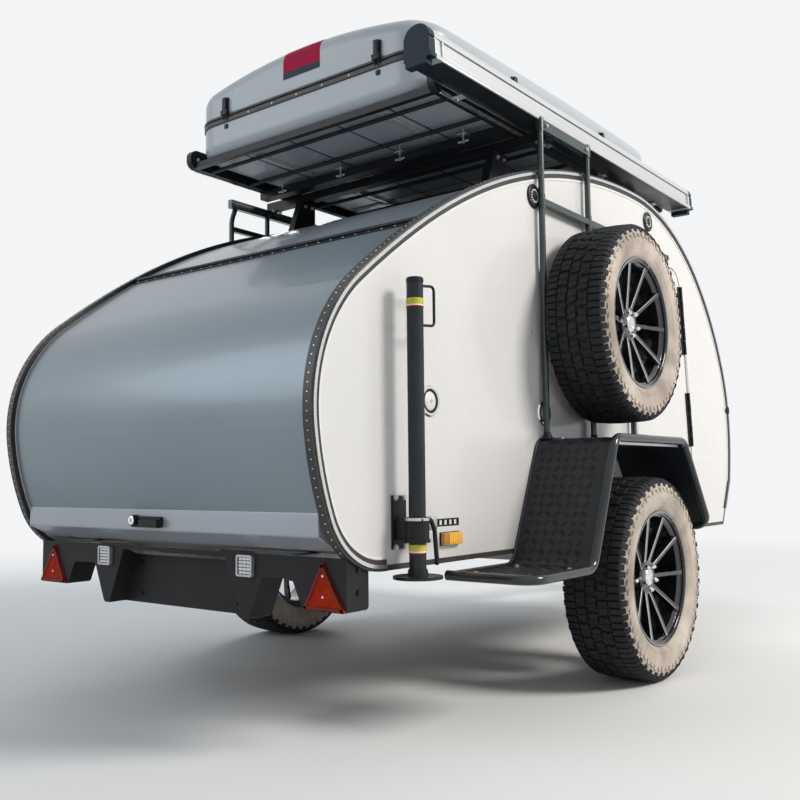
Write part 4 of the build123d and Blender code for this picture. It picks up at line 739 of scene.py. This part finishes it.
def hatch_lock():
    piece = Piece("hatch_lock", "hatch", "chrome", "black")
    x, y, z = -78, TAIL + 48, 621
    profile = [(-2, 0.1), (-2, 14.5), (1.5, 14.5), (2.4, 13), (2.4, 9), (1.2, 8.4), (1.2, 0.1)]
    piece.lathe((x, y, z), BACK, profile, 36)
    piece.box((x, y - 1.6, z), (2.2, 1.4, 10), 0.3, 1)
    piece.done()


def tail_lamps():
    """Square lamps with a bezel, rows of clear cells and four screws."""
    piece = Piece("tail_lamp_faces", "trailer", "steel", "black", "cell", "zinc")
    for mid in (LAMP_X, -LAMP_X):
        case = rectangle(mid, LAMP_Z, LAMP_W / 2, LAMP_H / 2)
        outer, inner = grown(case, 7, 0, 4), grown(case, 9, -6, 4)
        piece.band(inner, outer, BUMPER_Y, BUMPER_Y - LAMP_T, axis="Y")
        piece.prism(inner, "Y", BUMPER_Y, BUMPER_Y - 4, material=1)
        for i, j in product((-1, 0, 1), range(-2, 3)):
            x, z = mid + i * 17.2, LAMP_Z + j * 9.9
            piece.rings([[lay(p, BUMPER_Y - depth, "Y") for p in rectangle(x, z, 7.9 * k, 4.4 * k)]
                         for depth, k in ((3.5, 1.0), (8.0, 0.94), (9.6, 0.72), (10.2, 0.3))], 2)
        for x, z in rectangle(mid, LAMP_Z, LAMP_W / 2 - 4, LAMP_H / 2 - 4):
            piece.stud((x, BUMPER_Y - LAMP_T + 0.6, z), BACK, 1, 2.2, 10, 3)
    piece.done(("tail_lamps",), angle=40)


def reflector_faces():
    """A raised rim, ribbed face and two screws on each triangular reflector."""
    piece = Piece("reflector_faces", "trailer", "dark_red", "white_band", "red")
    foot, height = 391, 129
    for s in (1, -1):
        corners = [(s * (HALF_W - x), z) for x, z in ((157, foot), (6, foot), (86, foot + height))]
        inner, outer = grown(corners, 2, -9, 3), grown(corners, 5, -1, 3)
        piece.band(inner, outer, BUMPER_Y - 6.5, BUMPER_Y - 9.5, axis="Y")
        piece.prism(grown(corners, 2, -8, 3), "Y", BUMPER_Y - 6, BUMPER_Y - 7.2, material=2)
        middle = s * (HALF_W - 83)
        for k in range(16):
            z = 402 + k * 6.4
            half = max(1.0, 60 * (1 - (z - foot) / height) - 3)
            left, right = middle - half, middle + half
            y, crest_y, crest_z = BUMPER_Y - 7, BUMPER_Y - 8.2, z + 2.3
            verts = [(left, y, z), (right, y, z), (right, y, z + 4.6), (left, y, z + 4.6),
                     (left, crest_y, crest_z), (right, crest_y, crest_z)]
            piece.add(verts, [(0, 1, 5, 4), (4, 5, 2, 3), (0, 4, 3), (1, 2, 5)], 2)
        for z in (428, 484):
            piece.stud((middle, BUMPER_Y - 8, z), BACK, 2.2, 4.0, 16, 1, 2.8)
    piece.done(angle=25)


def bumper_fittings():
    """A lip over the bumper's recess, bolts in it and at the ends, and two slots."""
    piece = Piece("bumper_fittings", "trailer", "black", "bumper")
    recess_y = BUMPER_Y + 65
    piece.box((54, recess_y - 3, 514), (384, 6, 9), 2)
    for x, z in product((-230, 230), (372, 470)):
        piece.bolt((x, recess_y, z), BACK, 10, 4)
    for s in (1, -1):
        for z in (440, 500):
            piece.bolt((s * (HALF_W - 4), BUMPER_Y + 46, z), (s, 0, 0), 12, 5)
        piece.box((s * 300, BUMPER_Y - 1.5, 536), (150, 3, 5), 1, 1)
    piece.done()


def door_fittings(label, side):
    """Seal, window frame and handle of a door, and the sleeves and leaves of its hinges."""
    body = f"door_{label}"

    def off(depth):
        return side * (HALF_W + depth)

    seal = Piece(f"door_seal_{label}", "trailer", "pale")
    seal.band(grown(DOOR, DOOR_R, DOOR_GAP + 1), grown(DOOR, DOOR_R, DOOR_GAP + 12), off(-1), off(2.2))
    seal.done(angle=40)
    window = Piece(f"window_frame_{label}", body, "black", "rubber")
    window.band(grown(WINDOW, WINDOW_R, 1), grown(WINDOW, WINDOW_R, 24.5), off(4), off(6.5))
    window.band(grown(WINDOW, WINDOW_R, -7), grown(WINDOW, WINDOW_R, 2), off(-11), off(4.5), 1)
    window.done(angle=40)
    handle = Piece(f"door_handle_{label}", body, "black", "chrome")
    y, z = AXLE + 528, 1040
    outer, inner = (grown(rectangle(y, z, 22, 62), 14, amount, 6) for amount in (0, -5))
    handle.prism(outer, "X", off(-0.5), off(4), bevel=1)
    handle.band(inner, outer, off(3), off(7))
    handle.box((off(8), y, z + 16), (9, 26, 62), 3)
    handle.lathe((off(4), y, z - 38), (side, 0, 0), [(0, 0.1), (0, 11), (4, 11), (5, 9), (5, 0.1)], 24, 1)
    handle.box((off(9.2), y, z - 38), (1, 2, 9), 0.2)
    handle.done()
    sleeves = Piece(f"door_hinge_sleeves_{label}", body, "black")
    covers = Piece(f"door_hinge_covers_{label}", "trailer", "black", "bead")
    foot = Vector((side * HALF_W, *DOOR[1])) + DOOR_FORE * (DOOR_GAP / 2)

    def leaf(piece, span, way, section, material=0):
        piece.bar([foot + DOOR_LEAN * along for along in span],
                  [DOOR_FORE * (way * fore) + vx(side * out) for fore, out in section], material)

    for span in HINGE_SPANS:
        step = (span[1] - span[0]) / 5
        for k in (1, 3):
            knuckle = foot + DOOR_LEAN * (span[0] + k * step + 0.9) + vx(side * 7)
            sleeves.stud(knuckle, DOOR_LEAN, step - 1.8, 7.5, 18)
        for piece, way in ((sleeves, -1), (covers, 1)):
            leaf(piece, span, way, ((8.5, 3.5), (27, 3.4), (28, -0.3), (8.5, -0.3)))
    between = (HINGE_SPANS[0][1] + 3, HINGE_SPANS[1][0] - 3)
    leaf(covers, between, 1, ((6, 3.2), (26, 3.2), (28, -0.3), (5, -0.3)), 1)
    sleeves.done()
    covers.done()


def side_lamps():
    """Two-tone amber marker lamps, and round black lamps with a ring of small lenses."""
    piece = Piece("side_lamp_faces", "trailer", "amber", "brown", "black", "cell", "zinc")
    lamp_y, lamp_z = AXLE - 952, 560
    base = [(0, 0.1), (0, 44), (5, 44), (8, 41), (9, 36), (8, 33), (7, 31), (7, 14), (10, 12), (11, 8),
            (11, 0.1)]
    for s in (1, -1):
        x = s * HALF_W
        piece.box((x + s * 2, lamp_y, lamp_z), (4, 102, 40), 1.5, 2)
        for k in range(10):
            depth, material = (14, 0) if k > 2 else (15, 1)
            piece.box((x + s * 10, lamp_y - 48 + 9.6 * (k + 0.5), lamp_z), (depth, 9.7, 36), 1.6, material)
        for y, z in ((AXLE - 394, 1753), (AXLE + 629, 1876)):
            piece.lathe((x, y, z), (s, 0, 0), base, 48, 2)
            for a in around(14):
                lens = (x + s * 6.5, y + 22.5 * cos(a), z + 22.5 * sin(a))
                piece.stud(lens, (s, 0, 0), 3.2, 4.2, 12, 3, 2.6)
            for a in (0.6, 0.6 + pi):
                screw = (x + s * 8.2, y + 38 * cos(a), z + 38 * sin(a))
                piece.stud(screw, (s, 0, 0), 1.2, 2.2, 10, 4)
    piece.done(("side_lamps",))


def wall_fittings():
    """The inlet and the vent ring on the right wall, small screws, and stops on the nose."""
    piece = Piece("wall_fittings", "trailer", "chrome", "black", "pale", "zinc")
    out = (1, 0, 0)
    inlet, vent = (HALF_W, AXLE - 1046, 973), (HALF_W, AXLE - 352, 969)
    piece.lathe(inlet, out, [(-1, 38), (-1, 47.5), (2, 47.5), (6, 44), (7, 40), (6, 37), (1, 36)], 60)
    piece.lathe(inlet, out, [(-1, 29), (-1, 37), (4.5, 37), (6.5, 35), (6.5, 31), (4, 29)], 60, 1)
    piece.lathe(inlet, out, [(-1, 0.1), (-1, 29), (3, 29), (5, 26), (7.5, 14), (8.5, 0.1)], 48, 2)
    piece.stud(Vector(inlet) + vx(7), out, 3, 5, 16, 3)
    piece.lathe(vent, out, [(-1, 26), (-1, 45), (2, 45), (6, 42), (7, 36), (6, 30), (1, 26)], 60)
    for k in range(-2, 3):
        piece.box(Vector(vent) + Vector((2, 0, k * 10.5)), (4, 56 - 6 * abs(k), 6), 1.2, 2)
    for y, z in ((-432, 1253), (300, 1480), (300, 980)):
        piece.stud((HALF_W, AXLE + y, z), out, 3, 7, 18, 3, 4)
    for s in (1, -1):
        piece.box((s * (HALF_W - 2), AXLE + 1584, 1073), (26, 30, 22), 4, 1)
        piece.box((s * (HALF_W + 8), AXLE + 1592, 1073), (10, 14, 34), 3, 1)
    piece.done()


def tent_path(out):
    """Plan points round the tent's rear and sides, from one front corner to the other."""
    x, rear, front = TENT_X + out, TENT_REAR - out, TENT_FRONT - 150
    path = rounded_path([(x, front, 0), (x, rear, 0), (-x, rear, 0), (-x, front, 0)], TENT_R + out, steps=12)
    return [(p.x, p.y) for p in path]


def tent_band(name, body, low, high, reach, riveted=False):
    """A rubber band round the tent's seam, with a row of rivets on the lower one."""
    piece = Piece(name, body, "rubber", "white_band")
    loops = []
    for a, b in zip(tent_path(-1), tent_path(reach)):
        c = ((a[0] + b[0] * 3) / 4, (a[1] + b[1] * 3) / 4)
        loops.append([(*a, low), (*c, low), (*b, low + 2), (*b, high - 2), (*c, high), (*a, high)])
    piece.rings(loops)
    if riveted:
        z = (low + high) / 2
        for k in range(9):
            piece.stud((k * 130 - 520, TENT_REAR - reach, z), BACK, 1.6, 4.0, 12, 1, 2.6)
        for s, k in product((1, -1), range(11)):
            piece.stud((s * (TENT_X + reach), TENT_REAR + 170 + k * 140, z), (s, 0, 0), 1.6, 4.0, 12, 1, 2.6)
    piece.done(angle=50)


def latch(lid, tray, x, y, out):
    """A draw latch on the lid and its keeper on the tray."""
    out = Vector(out)
    across = Vector((-out.y, out.x, 0))
    turn = Matrix((across, out, vz(1))).transposed()

    def at(away, height, aside=0):
        return Vector((x, y, height)) + out * away + across * aside

    lid.box(at(3, 2232), (30, 6, 66), 2, 0, turn)
    lid.box(at(11, 2236), (22, 11, 56), 3.5, 0, turn)
    lid.box(at(12, 2203), (36, 10, 22), 3, 0, turn)
    lid.cyl(at(15, 2209, -19), at(15, 2209, 19), 3.2, 12)
    lid.tube([at(11, 2204, -9), at(10, 2174, -9), at(10, 2174, 9), at(11, 2204, 9)], 2.2, 5, 8)
    tray.box(at(2.5, 2150), (18, 5, 18), 2, 0, turn)
    tray.stud(at(4, 2150), out, 2, 5, 14)


def tent_latches():
    lid = Piece("tent_latches", "tent_lid", "black")
    tray = Piece("tent_latch_keepers", "trailer", "black")
    for x in (-392, 392):
        latch(lid, tray, x, TENT_REAR, BACK)
    for s, y in product((1, -1), (-300, 450)):
        latch(lid, tray, s * TENT_X, AXLE + y, (s, 0, 0))
    lid.done()
    tray.done()


def tent_label():
    """A plain label on the lid's rear: a crimson field over a dark strip."""
    across, rows = 9, 10
    parts = (("tent_label", 2276, 2364, "crimson"), ("tent_label_foot", 2250, 2275, "cap"))
    for name, low, high, mat in parts:
        piece = Piece(name, "tent_lid", mat)
        grid = [(-72 + 188 * j / (across - 1), TENT_REAR - 300, low + (high - low) * i / (rows - 1))
                for i, j in product(range(rows), range(across))]
        piece.drape("tent_lid", grid, across, (0, 1, 0), 0.9)
        piece.done(angle=60)


def tent_underside():
    """Seams under the tent's tray and its two mounting rails."""
    piece = Piece("tent_tray_seams", "trailer", "rubber", "alu")
    mid = (TENT_REAR + TENT_FRONT) / 2
    for x in (-372, -124, 124, 372):
        piece.box((x, mid, TENT_BOTTOM - 0.4), (6, TENT_FRONT - TENT_REAR - 110, 2.4), 0.8)
    for y in (470, 940, 1400):
        piece.box((0, TENT_REAR + y, TENT_BOTTOM - 0.3), (1080, 5, 2.0), 0.8)
    section = ((-20, 0.5), (20, 0.5), (20, -4), (8, -4), (8, -7.5), (-8, -7.5), (-8, -4), (-20, -4))
    for x in (330, -330):
        rail = [(x + u, TENT_BOTTOM + v) for u, v in section]
        piece.prism(rail, "Y", TENT_REAR + 90, TENT_FRONT - 90, bevel=0.6, material=1)
    piece.done(angle=40)


def rack_fittings():
    """End plates and a bright lip of painted highlight on the rack's rails, hanging bolts with wing nuts,
    pillar bolts.
    """
    piece = Piece("rack_fittings", "trailer", "black", "zinc", "bead")
    plate = [(-0.5, 20), (-0.5, 32), (2.4, 32), (3.4, 29), (3.4, 23), (2.0, 20)]
    # The section of a bright lip on each rail's lower outer edge, which is a painted highlight.
    lip = ((-6, -3), (3, -3), (3, 8), (-0.5, 8), (-0.5, 0.5), (-6, 0.5))
    for s in (1, -1):
        for y, (x, way) in product((RACK_REAR + 39, RACK_FRONT - 39), ((RACK_X, s), (RACK_X - RAIL_W, -s))):
            spot = (s * x, y, RACK_Z + 39)
            piece.lathe(spot, (way, 0, 0), plate, 40)
            piece.lathe(spot, (way, 0, 0), [(0, 0.1), (0, 9), (3, 9), (4.5, 6), (4.5, 0.1)], 24, 1)
        # A painted highlight: the bright lip along the rear part of the rail's lower edge.
        edge = [(s * (RACK_X + u), RACK_Z + v) for u, v in lip]
        piece.prism(edge, "Y", RACK_REAR + 40, RACK_REAR + 650, 0.8, 2)
    wing = ((5, 1993), (22, 1994), (25, 1998), (22, 2001), (5, 2000))
    for y, x in product((AXLE - 462, AXLE + 592), (-477, -138, 175, 477)):
        piece.cyl((x, y, RACK_Z + 24), (x, y, 1990), 3.4, 12, 1)
        piece.box((x, y, RACK_Z - 3), (40, 30, 4), 1, 1)
        piece.stud((x, y, 1993), UP, 8, 8, 16, 1, 6)
        for way in (1, -1):
            piece.prism([(x + way * u, z) for u, z in wing], "Y", y - 2, y + 2, 0.7, 1)
    for s in (1, -1):
        for y, dy, face in product(PILLAR_YS, (-22, 22), (1, -1)):
            piece.bolt((s * PILLAR_X + face * 17, y + dy, 1968), (face, 0, 0), 12, 6, 1)
        for y in (AXLE - 300, AXLE - 255):
            piece.bolt((s * 700, y, 1991), DOWN, 12, 6, 1)
    piece.done()


def awning_trim():
    """The awning's groove, black sheets of painted shade on its underside and inner face, lip, end plates and
    screws, and its clamps to the rail.
    """
    piece = Piece("awning_trim", "trailer", "black", "alu", "zinc")
    out = AWN_X + AWN_W
    middle, length = (AWN_REAR + AWN_FRONT) / 2, AWN_FRONT - AWN_REAR
    piece.box((out - 10.2, middle, AWN_Z + 66), (2.4, length - 66, 6), 0.6)
    # Black sheets under the case and on its inner face: painted shade.
    piece.box(((AWN_X + out) / 2 - 2, middle, AWN_Z + 0.2), (AWN_W - 8, length - 70, 2.4), 0.8)
    piece.box((AWN_X + 0.2, middle, AWN_Z + 34), (2.2, length - 70, 62), 0.8)
    piece.box((out - 1.2, middle, AWN_Z + 2), (3.6, length - 68, 5), 1.2, 1)
    plate = [(AWN_X + u, AWN_Z + v) for u, v in ((10, 12), (AWN_W - 14, 12), (AWN_W - 16, 50), (10, 50))]
    for y, way in ((AWN_REAR, -1), (AWN_FRONT, 1)):
        for x, z in ((22, 18), (84, 18), (30, 92), (70, 92)):
            piece.stud((AWN_X + x, y, AWN_Z + z), (0, way, 0), 1.8, 4, 12, 2, 2.6)
        piece.prism(plate, "Y", y - way, y + way * 1.6, bevel=0.8)
        piece.box((out - 3.5, y - way * 33.5, AWN_Z + 38), (9, 3, 58), 1, 1)
    for y in (-730, -120, 360, 900):
        piece.box((AWN_X - 9, AXLE + y, AWN_Z - 3), (40, 34, 6), 1.5, 2)
        piece.box((AWN_X - 20, AXLE + y, AWN_Z + 6), (6, 34, 22), 1.5, 2)
        piece.bolt((AWN_X - 2, AXLE + y, AWN_Z - 6), DOWN, 11, 5, 2)
    piece.done()


def steady_leg(label, side):
    """Bands, cap, foot and wire handle on the leg, and the clamp's gear on the wall."""
    x = side * LEG_X
    piece = Piece(f"leg_bands_{label}", f"steady_leg_{label}", "yellow", "red", "white_band", "black")

    def turned(profile, material):
        piece.lathe((x, LEG_Y, 0), UP, profile, 48, material)

    for low in (1233, 542):
        for start, end, rise, material in ((0, 18, 1.0, 0), (-4, 0, 0.9, 2), (-8, -4, 0.9, 1)):
            a, b, r = low + start, low + end, LEG_R + rise
            turned([(a, r - 1.5), (a, r), (b, r), (b, r - 1.5)], material)
    turned([(1308, 0.1), (1308, LEG_R + 1.2), (1304, LEG_R + 1.2), (1296, LEG_R + 0.4), (1296, LEG_R - 2),
            (1312, LEG_R - 2), (1314, 10), (1314, 0.1)], 3)
    y, reach = LEG_Y + LEG_R - 2, LEG_Y + 92
    piece.tube([(x, y, 1292), (x, reach, 1300), (x, reach, 1184), (x, y, 1178)], 4.2, 14, 12, 3)
    turned([(466, 62), (466, 70), (474, 70), (475, 60), (474, 30), (492, 27), (492, LEG_R), (470, LEG_R)], 3)
    piece.done()
    gear = Piece(f"leg_clamp_gear_{label}", "trailer", "black", "zinc", "steel")
    for z, dy in product((550, 690), (-20, 20)):
        gear.bolt((side * (HALF_W + 8), LEG_Y + dy, z), (side, 0, 0), 12, 5, 1)
    for z, mat in ((570, 0), (630, 1)):
        gear.lathe((x, LEG_Y, z), UP, [(-4, 33), (-4, 36.5), (4, 36.5), (4, 33)], 48, mat)
    gear.box((x, LEG_Y + 52, 616), (34, 44, 38), 4, 2)
    gear.cyl((x - side * 24, LEG_Y + 48, 616), (x + side * 24, LEG_Y + 48, 616), 6, 14, 1)
    for z in (606, 624):
        gear.box((x, LEG_Y + 136, z), (6, 128, 4.5), 0.8)
    for k in range(6):
        gear.box((x, LEG_Y + 75 + k * 24.4, 615), (6, 6, 16), 0.8)
    gear.tube([(x + side * 26, LEG_Y - 20, 628), (x + side * 30, LEG_Y + 22, 630),
               (x + side * 30, LEG_Y + 40, 596), (x + side * 28, LEG_Y + 52, 510)], 6.5, 16, 12)
    gear.sphere((x + side * 28, LEG_Y + 52, 508), 8, 14)
    gear.done()


def carrier_fittings(label, side):
    """Conical feet on the fender, sleeves where tubes meet, an end cap and bolts."""
    piece = Piece(f"carrier_fittings_{label}", "trailer", "carrier", "black", "zinc")
    x, posts = side * POST_X, POST_YS[side]
    for y in posts:
        foot = [(0, 11), (0, 24), (4, 24), (6, 20), (18, 13.5), (26, 12.2), (26, 11)]
        piece.lathe((x, y, FENDER_TOP), UP, foot, 36, 1)
        for a in (0.8, 2.4, 4.0, 5.6):
            piece.bolt((x + 19 * cos(a), y + 19 * sin(a), FENDER_TOP + 3), UP, 6, 3, 2, washer=False)
    if side > 0:
        for z, y in product((CARRIER_BAR_Z, CARRIER_TOP_Z), posts[:2]):
            piece.lathe((x, y, z), UP, [(-26, 11), (-26, 12.6), (26, 12.6), (26, 11)], 28)
        piece.box((x, AXLE + 782, CARRIER_BAR_Z), (24, 8, 25), 3, 1)
        piece.lathe((x, posts[2], CARRIER_BAR_Z), UP, [(-14, 11), (-14, 12.8), (14, 12.8), (14, 11)], 28)
    for y in (posts[0] + 26, posts[1] - 26):
        z = CARRIER_TOP_Z if side > 0 else LADDER_TOP_Z
        piece.bolt((side * (POST_X + 11.5), y, z), (side, 0, 0), 11, 5, 2)
    piece.done()


def fender_fittings(label, side):
    """The bright strip under the arch's top tube, bolts through the plate, and rubber along its wall edge."""
    piece = Piece(f"fender_fittings_{label}", "trailer", "zinc", "black", "rubber")
    piece.box((side * 1012, AXLE - 92, 857), (12, 520, 17), 3)
    for y, x in product((-330, -180, -30, 120), (1000, 790)):
        piece.bolt((side * x, AXLE + y, FENDER_TOP), UP, 13, 6)
    for y, x in product((-900, -660), (790, 980)):
        piece.bolt((side * x, AXLE + y, STEP_TOP), UP, 13, 6)
    edge = [(y, z + 6) for y, z in FENDER_PATH[:-1]] + [(436, 556)]
    piece.tube([(side * (HALF_W + 4), AXLE + y, z) for y, z in edge], 5, 60, 8, 2)
    piece.done()


def running_gear():
    """Arm pivots, clamp bolts of the axle tube and dampers."""
    piece = Piece("running_gear_fittings", "trailer", "zinc", "black", "steel")
    tube_y, tube_z, pivot_x = AXLE + 150, 433, 742
    for s in (1, -1):
        pivot = (s * pivot_x, tube_y, tube_z)
        piece.lathe(pivot, (s, 0, 0), [(-14, 20), (-14, 48), (-2, 48), (0, 44), (0, 20)], 40, 2)
        piece.bolt((s * (pivot_x + 28), tube_y, tube_z), (s, 0, 0), 26, 12)
        for x in (470, 570):
            for y in (-52, 52):
                piece.cyl((s * x, tube_y + y, 478), (s * x, tube_y + y, 384), 6, 12)
                piece.cyl((s * x, tube_y + y, 386), (s * x, tube_y + y, 396), 10, 6)
            piece.box((s * x, tube_y, 389), (26, 130, 8), 2, 2)
        piece.cyl((s * 640, AXLE + 40, 500), (s * 700, AXLE - 130, 380), 20, 20, 1)
        piece.cyl((s * 624, AXLE + 82, 528), (s * 650, AXLE + 20, 490), 12, 16)
    piece.done()


def nose_fittings():
    """Bellows, grips and bolts of the coupling, and the jockey wheel's clamp, collars and grip."""
    tip, ball_y, z = AXLE + 2480, AXLE + 2658, 433
    piece = Piece("coupling_fittings", "trailer", "black", "zinc", "rubber", "red")
    folds = [(k * 5.0 + along, r) for k in range(7) for along, r in ((0, 28.6), (1.2, 35), (3.2, 35))]
    piece.lathe((0, tip + 74, z), (0, 1, 0), folds + [(35, 28.6)], 40, 2)
    piece.tube([(0, ball_y - 150, z + 97.5), (0, ball_y - 202, z + 105.3)], 12.5, 0, 20, 2)
    piece.tube([(0, tip - 30, z + 215), (0, tip - 92, z + 334)], 13, 0, 20, 2)
    piece.sphere((0, tip - 94, z + 338), 13.2, 18, 3)
    for s in (1, -1):
        for dy, dz in product((20, 78), (22, -22)):
            piece.bolt((s * 45, tip + dy, z + dz), (s, 0, 0), 15, 7, 1)
        piece.bolt((s * 38, ball_y - 52, z + 4), (s, 0, 0), 17, 8, 1)
    cable = ((30, 6, 34), (64, 20, 20), (60, 60, -46), (20, 90, -52))
    piece.tube([(u, tip + v, z + w) for u, v, w in cable], 3, 12, 8, 1)
    piece.done()
    x, y = -150, AXLE + 2330
    gear = Piece("jockey_fittings", "trailer", "zinc", "black", "rubber")
    for h in (404, 462):
        gear.lathe((x, y, h), UP, [(-9, 30), (-9, 37), (9, 37), (9, 30)], 40)
    gear.cyl((x - 34, y - 20, 433), (x - 34, y + 40, 433), 7, 14)
    gear.cyl((x - 34, y + 40, 408), (x - 34, y + 40, 458), 5, 12, 1)
    grip = [(846, 8), (850, 15), (900, 16), (908, 12), (908, 0.1), (846, 0.1)]
    gear.lathe((x - 130, y, 0), UP, grip, 28, 1)
    gear.lathe((x, y, 0), UP, [(786, 30), (786, 34), (800, 34), (806, 28), (806, 8), (800, 8)], 36, 1)
    gear.done()


def on_both_sides(*makers):
    for make, (label, side) in product(makers, SIDES):
        make(label, side)


for label, side in SIDES:
    hub = (side * WHEEL_X, AXLE, TYRE_R)
    tyre(f"tread_{label}", f"wheel_{label}", hub, f"tyre_{label}")
    rim(f"spokes_{label}", f"wheel_{label}", hub, side, f"rim_{label}")
tyre("tread_spare", "trailer", SPARE, "spare_tyre")
rim("spokes_spare", "trailer", SPARE, 1, "spare_rim")
on_both_sides(chequer_bars, edge_trim)
for make in (hatch_skirt, hatch_hinge_sleeves, hatch_lock, tail_lamps, reflector_faces, bumper_fittings):
    make()
on_both_sides(door_fittings)
side_lamps()
wall_fittings()
tent_band("tent_seam_lower", "trailer", 2166, 2186, 5, riveted=True)
tent_band("tent_seam_upper", "tent_lid", 2189, 2199, 6)
for make in (tent_latches, tent_label, tent_underside, rack_fittings, awning_trim):
    make()
on_both_sides(steady_leg, carrier_fittings, fender_fittings)
running_gear()
nose_fittings()


def seen_share(tree):
    """1 for rays that the camera, a gloss or a glass sends, 0 for the light that reaches the object."""
    path = node(tree, "LightPath")
    total = path.outputs["Is Camera Ray"]
    for ray in ("Is Glossy Ray", "Is Transmission Ray"):
        total = node(tree, "Math", {0: total, 1: path.outputs[ray]}, operation="MAXIMUM")
    return total


def floor():
    """A pale floor that fades into the pale backdrop away from the trailer."""
    mesh = bpy.data.meshes.new("floor")
    mesh.from_pydata([(x, y, 0) for x, y in rectangle(0, 0, FLOOR_REACH, FLOOR_REACH)], [], [(0, 1, 2, 3)])
    ground = stand("studio_floor", mesh)
    mat = bpy.data.materials.new("studio_floor")
    mat.use_nodes = True
    tree = mat.node_tree
    shader = tree.nodes["Principled BSDF"]
    feed(tree, shader, {"Base Color": (0.80, 0.80, 0.79, 1), "Roughness": 0.9, "Specular IOR Level": 0.2})
    place = node(tree, "TexCoord").outputs["Object"]
    away = node(tree, "VectorMath", {0: place}, operation="LENGTH").outputs["Value"]
    fade = node(tree, "MapRange", {"Value": away, "From Min": FADE_START, "From Max": FADE_END},
                interpolation_type="SMOOTHSTEP")
    share = node(tree, "Math", {0: seen_share(tree), 1: fade}, operation="MULTIPLY")
    far = node(tree, "Emission", {"Color": (*BACKDROP, 1), "Strength": 1.0})
    mix = node(tree, "MixShader", {"Fac": share, 1: shader, 2: far})
    feed(tree, tree.nodes["Material Output"], {"Surface": mix})
    mesh.materials.append(mat)


def sky():
    """A soft light from all sides, seen as the pale backdrop."""
    world = bpy.data.worlds.new("world")
    bpy.context.scene.world = world
    world.use_nodes = True
    tree = world.node_tree
    light = tree.nodes["Background"]
    feed(tree, light, {"Color": (0.80, 0.86, 0.93, 1), "Strength": 0.50})
    seen = node(tree, "Background", {"Color": (*BACKDROP, 1), "Strength": 1.0})
    mix = node(tree, "MixShader", {"Fac": seen_share(tree), 1: light, 2: seen})
    feed(tree, tree.nodes["World Output"], {"Surface": mix})


def lamp(name, place, aim, size, watts, colour):
    data = bpy.data.lights.new(name, "AREA")
    data.shape, data.size, data.energy, data.color = "DISK", size, watts, colour
    made = stand(name, data)
    made.location = place
    made.rotation_euler = (Vector(aim) - Vector(place)).to_track_quat("-Z", "Y").to_euler()


floor()
sky()
lamp("key", (7.5, 1.5, 6.0), (0, 0, 1), 3.0, 700, (1.0, 0.955, 0.89))
lamp("fill", (-4.5, -7.0, 4.5), (0, 0, 1), 5.0, 130, (0.88, 0.94, 1.0))
lamp("rim_light", (-5.5, 6.0, 5.0), (0, 0, 1.4), 4.0, 200, (0.95, 0.97, 1.0))
